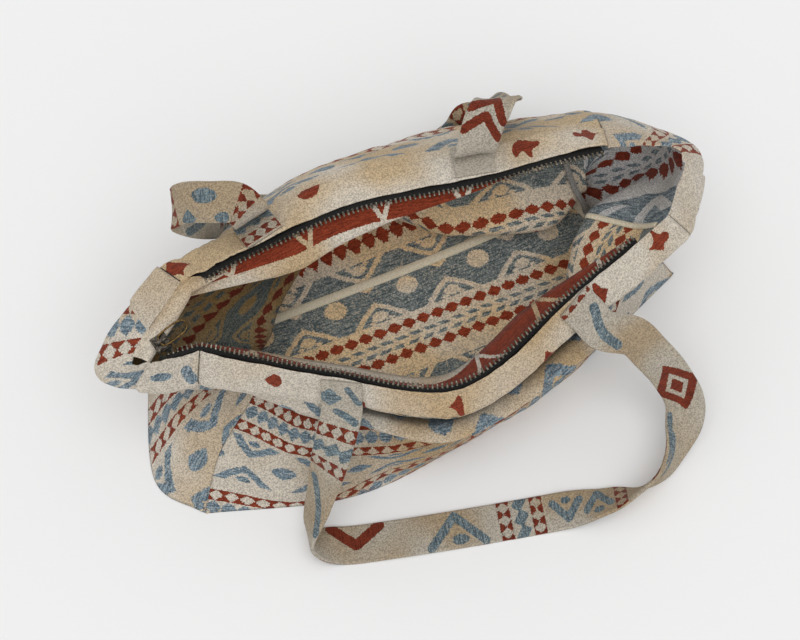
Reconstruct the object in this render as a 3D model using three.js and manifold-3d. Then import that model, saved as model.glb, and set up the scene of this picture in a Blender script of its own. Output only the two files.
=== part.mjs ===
import * as THREE from 'three';
import { mergeVertices } from 'three/addons/utils/BufferGeometryUtils.js';
import Module from 'manifold-3d';

const wasm = await Module();
wasm.setup();

// Driving sizes in millimetres.
// The bag runs along X, its back is towards +Y, and it stands on the floor at Z = 0.
const floorLength = 440;
const floorDepth = 230;
const rimHeight = 165;
const cloth = 2;
const bandWidth = 30;
const gap = 0.4;

const halfLength = floorLength / 2;
const halfDepth = floorDepth / 2;

// How far the wall swings out of the straight line between floor and rim, from the floor upwards,
// as shares of the rim height: lower belly, neck, collar, tuck under the hem band, fold of the band.
const tucked = [0, 0, 0.02, 0.03, 0.17];
const crushed = [-0.1, -0.3, -0.05, -0.04, 0.08];
const pressed = [-0.1, 0, -0.05, -0.05, 0.1];
const rolled = [0.035, -0.085, 0.11, -0.035, 0.09];
const swept = [0.11, 0.24, 0.235, 0.2, 0.17];
const slumped = [-0.22, 0.36, 0.31, 0.24, 0.17];
const slumpedSoft = [-0.2, 0.36, 0.33, 0.26, 0.18];
const slumpedEnd = [-0.2, 0.24, 0.225, 0.19, 0.155];
const levelRise = [0.2, 0.42, 0.58, 0.76];
const levelLean = [0.13, 0.42, 0.58, 0.74];

// The places round the bag where the cloth was read, from the pinched left tip along the front.
// foot and rim are shares of half the floor's length and depth, height is a share of the rim height,
// slack scales the folds named beside it, and push is how far the neck is shoved into the bag there,
// again in shares of half the length and depth. The levels beside the neck follow by pushShare.
const pushShare = [0.25, 1, 0.4, 0.1];
const none = [0, 0];
const stations = [
  { name: 'leftTip', foot: [-1.01, 0.05], rim: [-1.082, -0.29], height: 0.79, folds: tucked, slack: 1,
    push: [0.5, -0.07] },
  { name: 'leftFront', foot: [-1.145, -0.72], rim: [-1.01, -0.38], height: 0.79, folds: tucked, slack: 0.8,
    push: [0.44, 0.2] },
  { name: 'frontLeft', foot: [-1.027, -1.1], rim: [-0.855, -0.43], height: 0.79, folds: pressed, slack: 1,
    push: [0.26, 0.27] },
  { name: 'frontStrapLeft', foot: [-0.53, -1.4], rim: [-0.48, -0.95], height: 0.79, folds: crushed,
    slack: 0.8, push: none },
  { name: 'frontMiddle', foot: [-0.12, -1.38], rim: [-0.08, -1.39], height: 0.79, folds: rolled, slack: 1,
    push: none },
  { name: 'frontStrapRight', foot: [0.4, -1.2], rim: [0.41, -1.13], height: 0.85, folds: rolled, slack: 1.3,
    push: none },
  { name: 'frontRight', foot: [0.98, -0.78], rim: [0.86, -0.86], height: 0.9, folds: tucked, slack: 0.72,
    push: [-0.23, 0.47] },
  { name: 'rightTip', foot: [0.8, 0.05], rim: [1.02, -0.45], height: 0.91, folds: swept, slack: 0.7,
    push: none },
  { name: 'backRight', foot: [0.84, 0.36], rim: [0.77, -0.24], height: 0.97, folds: slumpedEnd, slack: 1,
    push: none },
  { name: 'backSag', foot: [0.6, 0.2], rim: [0.54, -0.18], height: 1, folds: slumped, slack: 1,
    push: none },
  { name: 'backStrapRight', foot: [0.28, 0.42], rim: [0.29, -0.13], height: 1, folds: slumpedSoft, slack: 1,
    push: none },
  { name: 'backMiddle', foot: [-0.15, 0.66], rim: [-0.15, 0.04], height: 1, folds: swept, slack: 1.1,
    push: none },
  { name: 'backStrapLeft', foot: [-0.49, 0.54], rim: [-0.49, 0.06], height: 0.94, folds: swept, slack: 0.92,
    push: none },
  { name: 'backLeft', foot: [-0.94, 0.36], rim: [-0.82, 0.06], height: 0.86, folds: tucked, slack: 0.98,
    push: [0.61, 0.06] },
];
const count = stations.length;
const placed = stations.map((one) => ({
  foot: new THREE.Vector3(one.foot[0] * halfLength, one.foot[1] * halfDepth, 0),
  rim: new THREE.Vector3(one.rim[0] * halfLength, one.rim[1] * halfDepth, one.height * rimHeight),
  swing: one.folds.map((fold) => fold * one.slack * rimHeight),
  push: new THREE.Vector3(one.push[0] * halfLength, one.push[1] * halfDepth, 0),
}));
placed.forEach((one, i) => {
  const before = placed[(i + count - 1) % count];
  const after = placed[(i + 1) % count];
  const along = after.foot.clone().sub(before.foot).add(after.rim).sub(before.rim);
  one.out = new THREE.Vector3(along.y, -along.x, 0).normalize();
});

// One panel takes the stations from first to last and gives smooth curves through them.
function panelCurves(first, last) {
  const list = [];
  for (let i = first; i <= last; i += 1) {
    list.push(placed[i % count]);
  }
  const through = (pick, pull = 0.5) => new THREE.CatmullRomCurve3(list.map(pick), false, 'catmullrom', pull);
  return {
    first,
    span: last - first,
    foot: through((one) => one.foot),
    rim: through((one) => one.rim),
    out: through((one) => one.out),
    push: through((one) => one.push, 0.2),
    lowSwing: through((one) => new THREE.Vector3(one.swing[0], one.swing[1], one.swing[2]), 0.15),
    highSwing: through((one) => new THREE.Vector3(one.swing[3], one.swing[4], 0), 0.3),
  };
}
const placeOf = (name) => stations.findIndex((one) => one.name === name);
const frontCloth = panelCurves(placeOf('frontLeft'), placeOf('frontRight'));
const rightCloth = panelCurves(placeOf('frontRight'), placeOf('backRight'));
const backCloth = panelCurves(placeOf('backRight'), placeOf('backLeft'));
const leftCloth = panelCurves(placeOf('backLeft'), count + placeOf('frontLeft'));

// The upright line of the wall at a share u along one panel.
function upright(panel, u) {
  const foot = panel.foot.getPoint(u);
  const rim = panel.rim.getPoint(u);
  const out = panel.out.getPoint(u).normalize();
  const push = panel.push.getPoint(u);
  const swing = [...panel.lowSwing.getPoint(u).toArray(), ...panel.highSwing.getPoint(u).toArray()];
  const line = [foot];
  levelRise.forEach((rise, k) => {
    const spot = foot.clone().lerp(rim, levelLean[k]);
    spot.z = rim.z * rise;
    line.push(spot.addScaledVector(out, swing[k]).addScaledVector(push, pushShare[k]));
  });
  const reach = Math.min(swing[4], bandWidth * 0.97);
  const fold = rim.clone().addScaledVector(out, reach);
  fold.z -= Math.sqrt(bandWidth * bandWidth - reach * reach);
  line.push(fold);
  line.push(rim);
  return new THREE.CatmullRomCurve3(line, false, 'centripetal');
}

function wallPoint(panel, u, t) {
  return upright(panel, u).getPoint(t);
}

// The direction out of the cloth at a place on the wall.
function wallOut(panel, u, t) {
  const step = 0.004;
  const sideA = wallPoint(panel, Math.max(u - step, 0), t);
  const sideB = wallPoint(panel, Math.min(u + step, 1), t);
  const lower = wallPoint(panel, u, Math.max(t - step, 0));
  const upper = wallPoint(panel, u, Math.min(t + step, 1));
  return sideB.sub(sideA).cross(upper.sub(lower)).normalize();
}

// Faces are turned to look outward, whichever way round the sheet was drawn.
function closedBody(spots, faces) {
  const corner = (k) => new THREE.Vector3().fromArray(spots, faces[k] * 3);
  let volume = 0;
  for (let k = 0; k < faces.length; k += 3) {
    volume += corner(k).dot(corner(k + 1).cross(corner(k + 2)));
  }
  const body = new THREE.BufferGeometry();
  body.setAttribute('position', new THREE.Float32BufferAttribute(spots, 3));
  body.setIndex(volume < 0 ? faces.slice().reverse() : faces);
  return body;
}

// A closed body between two sheets of points with the same rows and columns.
function sheetBody(outer, inner) {
  const columns = outer.length;
  const rows = outer[0].length;
  const spots = [];
  outer.forEach((column) => column.forEach((p) => spots.push(p.x, p.y, p.z)));
  inner.forEach((column) => column.forEach((p) => spots.push(p.x, p.y, p.z)));
  const faces = [];
  const half = columns * rows;
  const at = (i, j, layer) => layer * half + i * rows + j;
  const quad = (a, b, c, d) => faces.push(a, b, c, a, c, d);
  for (let i = 0; i < columns - 1; i += 1) {
    for (let j = 0; j < rows - 1; j += 1) {
      quad(at(i, j, 0), at(i + 1, j, 0), at(i + 1, j + 1, 0), at(i, j + 1, 0));
      quad(at(i, j, 1), at(i, j + 1, 1), at(i + 1, j + 1, 1), at(i + 1, j, 1));
    }
    quad(at(i, 0, 0), at(i, 0, 1), at(i + 1, 0, 1), at(i + 1, 0, 0));
    quad(at(i, rows - 1, 0), at(i + 1, rows - 1, 0), at(i + 1, rows - 1, 1), at(i, rows - 1, 1));
  }
  for (let j = 0; j < rows - 1; j += 1) {
    quad(at(0, j, 0), at(0, j + 1, 0), at(0, j + 1, 1), at(0, j, 1));
    const k = columns - 1;
    quad(at(k, j, 0), at(k, j, 1), at(k, j + 1, 1), at(k, j + 1, 0));
  }
  return closedBody(spots, faces);
}

const group = new THREE.Group();
function addNode(name, geometry, colour, roughness, metalness) {
  const finish = new THREE.MeshStandardMaterial({ color: colour, roughness, metalness });
  const mesh = new THREE.Mesh(geometry, finish);
  mesh.name = name;
  group.add(mesh);
}

function spread(first, last, steps) {
  const list = [];
  for (let i = 0; i <= steps; i += 1) {
    list.push(first + ((last - first) * i) / steps);
  }
  return list;
}

// Walls meet the neighbour panel on a mitre: the inside edge lies on the plane halfway between them.
const sharpest = 0.2;
function mitreOut(panel, u, t) {
  const own = wallOut(panel, u, t);
  const order = [leftCloth, frontCloth, rightCloth, backCloth];
  const place = order.indexOf(panel);
  if (u > 0.005 && u < 0.995) {
    return own;
  }
  const before = order[(place + 3) % 4];
  const after = order[(place + 1) % 4];
  const other = u < 0.5 ? wallOut(before, 1, t) : wallOut(after, 0, t);
  const mean = own.clone().add(other).normalize();
  return mean.divideScalar(Math.max(mean.dot(own), sharpest));
}

const baseRows = [0, 0.5, 0.93];
const seamTrim = 0.0008;

// The bottom half of a panel lies flat between the centre seam and the foot of its wall.
function bottomPoint(panel, u, w, leftSide, rightSide) {
  const seamA = leftSide(0);
  const seamB = rightSide(0);
  const seam = seamA.clone().lerp(seamB, u);
  const foot = panel.foot.getPoint(u);
  const endA = leftSide(w);
  const endB = rightSide(w);
  const cornerA = leftSide(0).lerp(leftSide(1), w);
  const cornerB = rightSide(0).lerp(rightSide(1), w);
  const spot = seam.lerp(foot, w);
  spot.add(endA.sub(cornerA).multiplyScalar(1 - u));
  spot.add(endB.sub(cornerB).multiplyScalar(u));
  return spot;
}

function bodyPanel(panel, columns, wallRows, seamSide, leftSide, rightSide) {
  const outer = [];
  const inner = [];
  const wallShares = spread(0, 1, wallRows);
  spread(seamTrim, 1 - seamTrim, columns).forEach((u) => {
    const outside = [];
    const inside = [];
    baseRows.forEach((w) => {
      const spot = bottomPoint(panel, u, w, leftSide, rightSide);
      if (w === 0) {
        spot.y += seamSide * gap;
      }
      outside.push(spot);
      inside.push(spot.clone().setZ(cloth));
    });
    wallShares.forEach((t) => {
      const spot = wallPoint(panel, u, t);
      const out = mitreOut(panel, u, t);
      if (t === 0) {
        out.add(new THREE.Vector3(0, 0, -1)).normalize();
      }
      outside.push(spot);
      inside.push(spot.clone().addScaledVector(out, -cloth));
    });
    outer.push(outside);
    inner.push(inside);
  });
  return sheetBody(outer, inner);
}

// The bottom's centre seam runs from the left tip to the right tip.
const tipLeft = (count + placeOf('leftTip') - leftCloth.first) / leftCloth.span;
const tipRight = (placeOf('rightTip') - rightCloth.first) / rightCloth.span;
const leftToFront = (w) => leftCloth.foot.getPoint(tipLeft + (1 - tipLeft) * w);
const leftToBack = (w) => leftCloth.foot.getPoint(tipLeft * (1 - w));
const rightToFront = (w) => rightCloth.foot.getPoint(tipRight * (1 - w));
const rightToBack = (w) => rightCloth.foot.getPoint(tipRight + (1 - tipRight) * w);

const wallRows = 18;
const frontColumns = 24;
const backColumns = 24;
const leftColumns = 16;
const rightColumns = 12;
const cream = '#c9bda8';
const frontBody = bodyPanel(frontCloth, frontColumns, wallRows, -1, leftToFront, rightToFront);
addNode('front_panel', frontBody, cream, 0.9, 0);
const backBody = bodyPanel(backCloth, backColumns, wallRows, 1, rightToBack, leftToBack);
addNode('back_panel', backBody, cream, 0.9, 0);

function endPanel(panel, columns, wallRows) {
  const lift = cloth + gap;
  const outer = [];
  const inner = [];
  spread(seamTrim * 3, 1 - seamTrim * 3, columns).forEach((u) => {
    const outside = [];
    const inside = [];
    spread(0, 1, wallRows).forEach((t) => {
      const spot = wallPoint(panel, u, t);
      const inset = spot.clone().addScaledVector(mitreOut(panel, u, t), -cloth);
      spot.z = Math.max(spot.z, lift);
      inset.z = Math.max(inset.z, lift + cloth * Math.min(t * wallRows, 1) * 0.5);
      outside.push(spot);
      inside.push(inset);
    });
    outer.push(outside);
    inner.push(inside);
  });
  return sheetBody(outer, inner);
}
addNode('left_end_panel', endPanel(leftCloth, leftColumns, wallRows), cream, 0.9, 0);
addNode('right_end_panel', endPanel(rightCloth, rightColumns, wallRows), cream, 0.9, 0);

// Zip, facings and bindings follow the rim and the seams. A rim place is a station number with its
// fraction, counted on past the last station.
const zipTape = 1.2;
const zipReach = 8;
const zipSlim = 5;
const zipTuck = 5;
const zipGap = 0.7;
const toothPitch = 4.8;
const toothLong = 2.6;
const toothReach = 2.6;
const beadWide = 2;
const beadThick = 3;
const teethPerStep = 3;
const zipLevelling = 70;
const facingWidth = 31;
const facingCloth = 1.4;
const facingTaper = 130;
const bindingWidth = 8;
const bindingCloth = 2.4;
const rightBindingInset = 5;
const leftBindingInset = 14;
const rightBindingLast = 0.6;
const leftBindingLast = 0.88;

const panels = [
  { panel: leftCloth, columns: leftColumns },
  { panel: frontCloth, columns: frontColumns },
  { panel: rightCloth, columns: rightColumns },
  { panel: backCloth, columns: backColumns },
];
function rimPlace(place) {
  const { panel } = panels.find((one) => (place - one.panel.first + count * 2) % count <= one.panel.span);
  return { panel, u: ((place - panel.first + count * 2) % count) / panel.span };
}

// Places from start to end that fall on the panels' own columns.
function rimPlaces(start, end) {
  const list = [start, end];
  panels.forEach(({ panel, columns }) => {
    spread(panel.first, panel.first + panel.span, columns).forEach((place, k) => {
      [place, place + count, place - count].forEach((turned) => {
        if (k < columns && turned > start + 0.05 && turned < end - 0.05) {
          list.push(turned);
        }
      });
    });
  });
  return list.sort((a, b) => a - b);
}

// The rim's own directions: along the rim, out of the cloth, and on past its edge.
function rimFrame(place) {
  const { panel, u } = rimPlace(place);
  const spot = wallPoint(panel, u, 1);
  const step = 0.02;
  const ahead = rimPlace(place + step);
  const behind = rimPlace(place - step);
  const along = wallPoint(ahead.panel, ahead.u, 1).sub(wallPoint(behind.panel, behind.u, 1)).normalize();
  const onward = spot.clone().sub(wallPoint(panel, u, 0.97));
  onward.addScaledVector(along, -onward.dot(along)).normalize();
  const out = along.clone().cross(onward).normalize();
  const inward = new THREE.Vector3(-along.y, along.x, 0).normalize();
  return { spot, along, onward, out, inward };
}

// A strip laid along a list of places: each gives the strip's cross line and its thickness direction.
function strip(places, cross, thickness) {
  const outer = [];
  const inner = [];
  places.forEach((place) => {
    const { line, face } = cross(place);
    outer.push(line.map((p, k) => p.clone().addScaledVector(face[k], thickness / 2)));
    inner.push(line.map((p, k) => p.clone().addScaledVector(face[k], -thickness / 2)));
  });
  return sheetBody(outer, inner);
}

function tapeCross(place) {
  const f = rimFrame(place);
  const sunk = cloth + zipGap + zipTape / 2;
  const top = f.spot.clone().addScaledVector(f.out, -sunk);
  const low = top.clone().addScaledVector(f.onward, -zipTuck);
  const fromTip = f.spot.distanceTo(placed[placeOf('leftTip')].rim);
  const near = THREE.MathUtils.clamp(1 - fromTip / zipLevelling, 0, 1);
  const lean = f.onward.clone().addScaledVector(f.inward, 0.2 + 3 * near);
  lean.z *= 1 - near;
  lean.addScaledVector(f.along, -lean.dot(f.along)).normalize();
  const atSlider = THREE.MathUtils.clamp(1.6 - fromTip / zipLevelling, 0, 1);
  const free = top.clone().addScaledVector(lean, THREE.MathUtils.lerp(zipSlim, zipReach, atSlider));
  const leanOut = f.along.clone().cross(lean).normalize();
  return { line: [low, top, free], face: [f.out, f.out, leanOut], lean, along: f.along, leanOut, free };
}

function facingCross(start, end) {
  return (place) => {
    const f = rimFrame(place);
    const sunk = cloth + zipGap * 2 + zipTape + facingCloth / 2;
    const top = f.spot.clone().addScaledVector(f.out, -sunk);
    const flat = THREE.MathUtils.clamp(f.out.z, 0, 0.9);
    const hang = f.inward.clone().multiplyScalar(0.15 + flat * 0.65);
    hang.z = -0.9 + flat * 0.4;
    hang.addScaledVector(f.along, -hang.dot(f.along)).normalize();
    const face = f.along.clone().cross(hang).normalize();
    const fromStart = f.spot.distanceTo(rimFrame(start).spot);
    const fromEnd = f.spot.distanceTo(rimFrame(end).spot);
    const taper = Math.min(1, 0.2 + Math.min(fromStart, fromEnd) / facingTaper);
    const half = top.clone().addScaledVector(hang, facingWidth * 0.5 * taper);
    const curl = hang.clone().addScaledVector(face, 0.25).normalize();
    const low = half.clone().addScaledVector(curl, facingWidth * 0.5 * taper);
    return { line: [top, half, low], face: [face, face, face] };
  };
}

// Solids are added together here; the rest of the shapes stay plain geometry.
function toSolid(geometry) {
  const plain = new THREE.BufferGeometry();
  plain.setAttribute('position', geometry.attributes.position.clone());
  if (geometry.index) {
    plain.setIndex(geometry.index.clone());
  }
  const welded = mergeVertices(plain, 0.0005);
  return new wasm.Manifold(new wasm.Mesh({
    numProp: 3,
    vertProperties: new Float32Array(welded.attributes.position.array),
    triVerts: new Uint32Array(welded.index.array),
  }));
}
function toGeometry(solid) {
  const mesh = solid.getMesh();
  const geometry = new THREE.BufferGeometry();
  geometry.setAttribute('position', new THREE.Float32BufferAttribute(mesh.vertProperties, 3));
  geometry.setIndex(Array.from(mesh.triVerts));
  return geometry;
}
function joined(list) {
  return toGeometry(wasm.Manifold.union(list.map(toSolid)));
}

// One tape with a bead along its free edge and a row of teeth standing out of the bead.
function zipChain(start, end) {
  const edge = new THREE.CatmullRomCurve3(spread(start, end, 80).map((place) => tapeCross(place).free));
  const steps = Math.round(edge.getLength() / toothPitch / teethPerStep);
  const teeth = steps * teethPerStep;
  const frameAt = (share) => tapeCross(THREE.MathUtils.lerp(start, end, edge.getUtoTmapping(share)));
  const spots = [];
  const faces = [];
  const put = (p) => spots.push(p.x, p.y, p.z) / 3 - 1;
  const pair = (f, lean, along, thick) => {
    const p = f.free.clone().addScaledVector(f.lean, lean).addScaledVector(f.along, along);
    const lift = f.leanOut.clone().multiplyScalar(thick / 2);
    return [put(p.clone().add(lift)), put(p.sub(lift))];
  };
  const back = [];
  const tape = [];
  for (let i = 0; i <= teeth; i += 1) {
    const f = frameAt(i / teeth);
    back.push(pair(f, -beadWide / 2, 0, beadThick));
    if (i % teethPerStep === 0) {
      const rows = f.line.map((p, k) => {
        const lift = f.face[k].clone().multiplyScalar(zipTape / 2);
        const spot = k < 2 ? p : p.clone().addScaledVector(f.lean, -beadWide / 2);
        return [put(spot.clone().add(lift)), put(spot.clone().sub(lift))];
      });
      tape.push(rows);
    }
  }
  const rootA = [];
  const rootB = [];
  const tipA = [];
  const tipB = [];
  for (let i = 0; i < teeth; i += 1) {
    const f = frameAt((i + 0.5) / teeth);
    rootA.push(pair(f, beadWide / 2, -toothLong / 2, beadThick));
    rootB.push(pair(f, beadWide / 2, toothLong / 2, beadThick));
    tipA.push(pair(f, beadWide / 2 + toothReach, -toothLong * 0.4, beadThick * 0.8));
    tipB.push(pair(f, beadWide / 2 + toothReach, toothLong * 0.4, beadThick * 0.8));
  }
  const face = (a, b, c) => faces.push(a, b, c);
  const both = (a, b, c) => {
    face(a[0], b[0], c[0]);
    face(a[1], c[1], b[1]);
  };
  const side = (a, b) => {
    face(a[0], a[1], b[1]);
    face(a[0], b[1], b[0]);
  };
  for (let i = 0; i < teeth; i += 1) {
    both(back[i], rootA[i], back[i + 1]);
    both(rootA[i], rootB[i], back[i + 1]);
    both(rootA[i], tipA[i], tipB[i]);
    both(rootA[i], tipB[i], rootB[i]);
    side(rootA[i], tipA[i]);
    side(tipA[i], tipB[i]);
    side(tipB[i], rootB[i]);
    if (i < teeth - 1) {
      both(rootB[i], rootA[i + 1], back[i + 1]);
      side(rootB[i], rootA[i + 1]);
    }
  }
  for (let j = 0; j < steps; j += 1) {
    const here = tape[j];
    const next = tape[j + 1];
    const from = j * teethPerStep;
    for (let i = from; i < from + teethPerStep; i += 1) {
      both(here[2], back[i], back[i + 1]);
    }
    both(here[2], back[from + teethPerStep], next[2]);
    for (let k = 0; k < 2; k += 1) {
      both(here[k], here[k + 1], next[k + 1]);
      both(here[k], next[k + 1], next[k]);
    }
    side(next[0], here[0]);
  }
  const cap = (root, spine, rows, flip) => {
    const turn = (a, b, c) => (flip ? face(a, c, b) : face(a, b, c));
    turn(root[0], spine[0], rows[2][0]);
    turn(root[0], rows[2][0], rows[2][1]);
    turn(root[0], rows[2][1], spine[1]);
    turn(root[0], spine[1], root[1]);
    for (let k = 0; k < 2; k += 1) {
      turn(rows[k + 1][0], rows[k][0], rows[k][1]);
      turn(rows[k + 1][0], rows[k][1], rows[k + 1][1]);
    }
  };
  cap(rootA[0], back[0], tape[0], false);
  cap(rootB[teeth - 1], back[teeth], tape[steps], true);
  return closedBody(spots, faces);
}

const zipFrontStart = count + placeOf('leftFront') + 0.3;
const zipFrontEnd = count + placeOf('frontRight') - 0.32;
const zipBackStart = placeOf('backRight') + 0.1;
const zipBackEnd = count + placeOf('leftTip') - 0.42;
addNode('zip_chain_front', zipChain(zipFrontStart, zipFrontEnd), '#1c1b1a', 0.7, 0);
addNode('zip_chain_back', zipChain(zipBackStart, zipBackEnd), '#1c1b1a', 0.7, 0);

const facingFrontStart = count + placeOf('frontLeft') - 0.3;
const facingBackEnd = count + placeOf('leftTip') - 0.8;
function facing(start, end) {
  return strip(rimPlaces(start, end), facingCross(start, end), facingCloth);
}
addNode('zip_facing_front', facing(facingFrontStart, zipFrontEnd), '#94432c', 0.9, 0);
addNode('zip_facing_back', facing(zipBackStart, facingBackEnd), '#94432c', 0.9, 0);

// Binding tape over the bottom's centre seam lies flat on the cloth.
const seamEndInset = 30;
const seamMiddle = leftToFront(0).lerp(rightToFront(0), 0.5);
const seamLength = leftToFront(0).distanceTo(rightToFront(0)) - seamEndInset * 2;
const seamTape = new THREE.BoxGeometry(seamLength, bindingWidth, bindingCloth);
seamTape.translate(seamMiddle.x, seamMiddle.y, cloth + gap + bindingCloth / 2);
seamTape.deleteAttribute('normal').deleteAttribute('uv');
addNode('base_seam_binding', mergeVertices(seamTape), '#d8d0bf', 0.85, 0);

// The end bindings lie on the floor of the bag beside the seam of each end panel.
const bindingSteps = 10;
function endBinding(panel, inset, last) {
  const outer = [];
  const inner = [];
  spread(0.12, last, bindingSteps).forEach((u) => {
    const foot = panel.foot.getPoint(u);
    const along = panel.foot.getTangent(u);
    const inward = new THREE.Vector3(-along.y, along.x, 0).normalize();
    const low = cloth + gap;
    const a = foot.clone().addScaledVector(inward, inset).setZ(low);
    const b = foot.clone().addScaledVector(inward, inset + bindingWidth).setZ(low);
    inner.push([a, b]);
    outer.push([a.clone().setZ(low + bindingCloth), b.clone().setZ(low + bindingCloth)]);
  });
  return sheetBody(outer, inner);
}
addNode('right_end_seam_binding', endBinding(rightCloth, rightBindingInset, rightBindingLast), '#cfc9bd', 0.85, 0);
addNode('left_end_seam_binding', endBinding(leftCloth, leftBindingInset, leftBindingLast), '#cfc9bd', 0.85, 0);

// Handles: straps sewn to the hem band at both ends. The free part is read in shares of half the
// floor's length, half its depth and the rim height, with the direction across the strap beside it.
const strapWidth = 32;
const strapCloth = 3.6;
const strapSteps = 56;
const strapLift = 25;
function bandEnd(place, sign) {
  const { panel, u } = rimPlace(place);
  const reach = strapWidth / panel.rim.getLength() / 2;
  return [1, 0.93, 0.86].map((t) => {
    const out = wallOut(panel, u, t);
    const sideA = wallPoint(panel, u - reach, t);
    const sideB = wallPoint(panel, u + reach, t);
    const across = sideB.clone().sub(sideA).normalize();
    out.addScaledVector(across, -out.dot(across)).normalize();
    const bulge = spread(u - reach, u + reach, 12).map((share) => {
      return wallPoint(panel, share, t).sub(sideA).dot(out);
    });
    const spot = sideA.clone().lerp(sideB, 0.5);
    spot.addScaledVector(out, Math.max(...bulge) + gap * 2 + strapCloth / 2 + strapLift * (1 - t));
    return { spot, across: across.multiplyScalar(sign) };
  });
}
function strap(startPlace, startSign, free, endPlace, endSign) {
  const middle = free.map(([x, y, z, ax, ay, az]) => ({
    spot: new THREE.Vector3(x * halfLength, y * halfDepth, z * rimHeight),
    across: new THREE.Vector3(ax, ay, az).normalize(),
  }));
  const points = [...bandEnd(startPlace, startSign), ...middle, ...bandEnd(endPlace, endSign).reverse()];
  const path = new THREE.CatmullRomCurve3(points.map((one) => one.spot), false, 'centripetal');
  const turn = new THREE.CatmullRomCurve3(points.map((one) => one.across), false, 'catmullrom', 0.3);
  const outer = [];
  const inner = [];
  spread(0, 1, strapSteps).forEach((share) => {
    const spot = path.getPoint(share);
    const along = path.getTangent(share);
    const across = turn.getPoint(share);
    across.addScaledVector(along, -across.dot(along)).normalize();
    const face = along.clone().cross(across);
    const a = spot.clone().addScaledVector(across, -strapWidth / 2);
    const b = spot.clone().addScaledVector(across, strapWidth / 2);
    face.multiplyScalar(strapCloth / 2);
    outer.push([a.clone().add(face), b.clone().add(face)]);
    inner.push([a.sub(face), b.sub(face)]);
  });
  return sheetBody(outer, inner);
}
const onFloor = (strapCloth / 2) / rimHeight;
const frontFree = [
  [-0.56, -1.32, 0.515, 0.6, -0.79, 0.1],
  [-0.645, -1.455, 0.25, 0.2, -0.92, 0.33],
  [-0.715, -1.617, 0.075, -0.21, -0.82, 0.5],
  [-0.63, -1.7, onFloor, -0.25, -0.96, 0],
  [-0.41, -1.83, onFloor, -0.25, -0.97, 0],
  [0.16, -2.1, onFloor, -0.25, -0.97, 0],
  [0.4, -2.22, 0.04, -0.25, -0.93, 0.3],
  [0.53, -2.24, 0.105, -0.165, -0.37, 0.914],
  [0.645, -2.09, 0.13, -0.6, 0.1, 0.8],
  [0.72, -1.86, 0.24, -0.914, 0.407, 0],
  [0.7, -1.69, 0.375, -0.95, 0.3, 0],
  [0.635, -1.53, 0.545, -0.97, 0.2, 0],
  [0.56, -1.4, 0.7, -0.97, -0.1, 0],
];
const frontStrap = strap(placeOf('frontStrapLeft') + 0.1, 1, frontFree, placeOf('frontStrapRight'), -1);
addNode('front_handle', frontStrap, cream, 0.9, 0);
const backFree = [
  [-0.515, 0.19, 1.05, 0.95, 0.2, 0.1],
  [-0.55, 0.26, 1.13, 0.7, 0.6, 0.3],
  [-0.63, 0.32, 1.15, 0.35, 0.83, 0.42],
  [-0.71, 0.43, 1.09, 0.3, 0.8, 0.5],
  [-0.745, 0.48, 1, 0.3, 0.8, 0.5],
  [-0.7, 0.46, 0.9, 0.25, 0.7, 0.65],
  [-0.6, 0.54, 0.66, 0.1, 0.5, 0.85],
  [-0.49, 0.76, 0.34, 0, 0.15, 0.97],
  [-0.3, 0.83, 0.12, 0, 0.1, 0.98],
  [0, 0.84, 0.105, 0, 0.05, 0.99],
  [0.3, 0.84, 0.105, 0, 0.05, 0.99],
  [0.47, 0.83, 0.2, 0.35, 0.1, 0.9],
  [0.54, 0.76, 0.42, 0.8, 0.05, 0.5],
  [0.53, 0.55, 0.66, 0.95, 0, 0.25],
  [0.5, 0.38, 0.9, 0.95, -0.1, 0.2],
  [0.475, 0.27, 1.08, 0.9, -0.25, 0.2],
  [0.43, 0.2, 1.21, 0.85, -0.4, 0.2],
  [0.37, 0.12, 1.2, 0.9, -0.35, 0],
  [0.3, 0, 1.08, 0.97, -0.2, 0],
];
const backStrap = strap(placeOf('backStrapLeft'), -1, backFree, placeOf('backStrapRight'), -1);
addNode('back_handle', backStrap, cream, 0.9, 0);

// The slider sits where both chains end, with its bail on top and the pull's wire through the bail.
const plateLong = 13;
const plateWide = 12;
const plateThick = 1.6;
const channel = 5.4;
const postWide = 2.2;
const bailHeight = 4.3;
const bailWide = 3;
const bailBar = 1.4;
const wire = 1.5;
const pullLong = 24;
const pullWide = 9;
const pullRest = THREE.MathUtils.degToRad(10);

const chainF = tapeCross(zipFrontStart);
const chainB = tapeCross(zipBackEnd);
const sliderX = chainF.along.clone().sub(chainB.along).normalize();
const sliderY = chainB.free.clone().sub(chainF.free);
sliderY.addScaledVector(sliderX, -sliderY.dot(sliderX)).normalize();
const sliderZ = sliderX.clone().cross(sliderY);
const sliderMiddle = chainF.free.clone().lerp(chainB.free, 0.5);
const sliderTurn = new THREE.Matrix4().makeBasis(sliderX, sliderY, sliderZ).setPosition(sliderMiddle);

function block(fromX, toX, wide, fromZ, toZ) {
  const shape = new THREE.BoxGeometry(toX - fromX, wide, toZ - fromZ);
  return shape.translate((fromX + toX) / 2, 0, (fromZ + toZ) / 2);
}
const plateTop = channel / 2 + plateThick;
const bailTop = plateTop + bailHeight;
const slider = joined([
  block(-plateLong / 2, plateLong / 2, plateWide, channel / 2, plateTop),
  block(-plateLong / 2, plateLong / 2, plateWide, -plateTop, -channel / 2),
  block(-plateLong / 2, -plateLong / 4, plateWide * 0.6, -channel / 2 - 0.2, channel / 2 + 0.2),
  block(plateLong / 4 - 1, plateLong / 2 - 0.5, postWide, -channel / 2 - 0.2, channel / 2 + 0.2),
  block(-plateLong / 2 + 1, -plateLong / 2 + 2.6, bailWide, plateTop - 0.2, bailTop),
  block(plateLong / 2 - 2.6, plateLong / 2 - 1, bailWide, plateTop - 0.2, bailTop),
  block(-plateLong / 2 + 1, plateLong / 2 - 1, bailWide, bailTop - bailBar, bailTop),
]);
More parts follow.
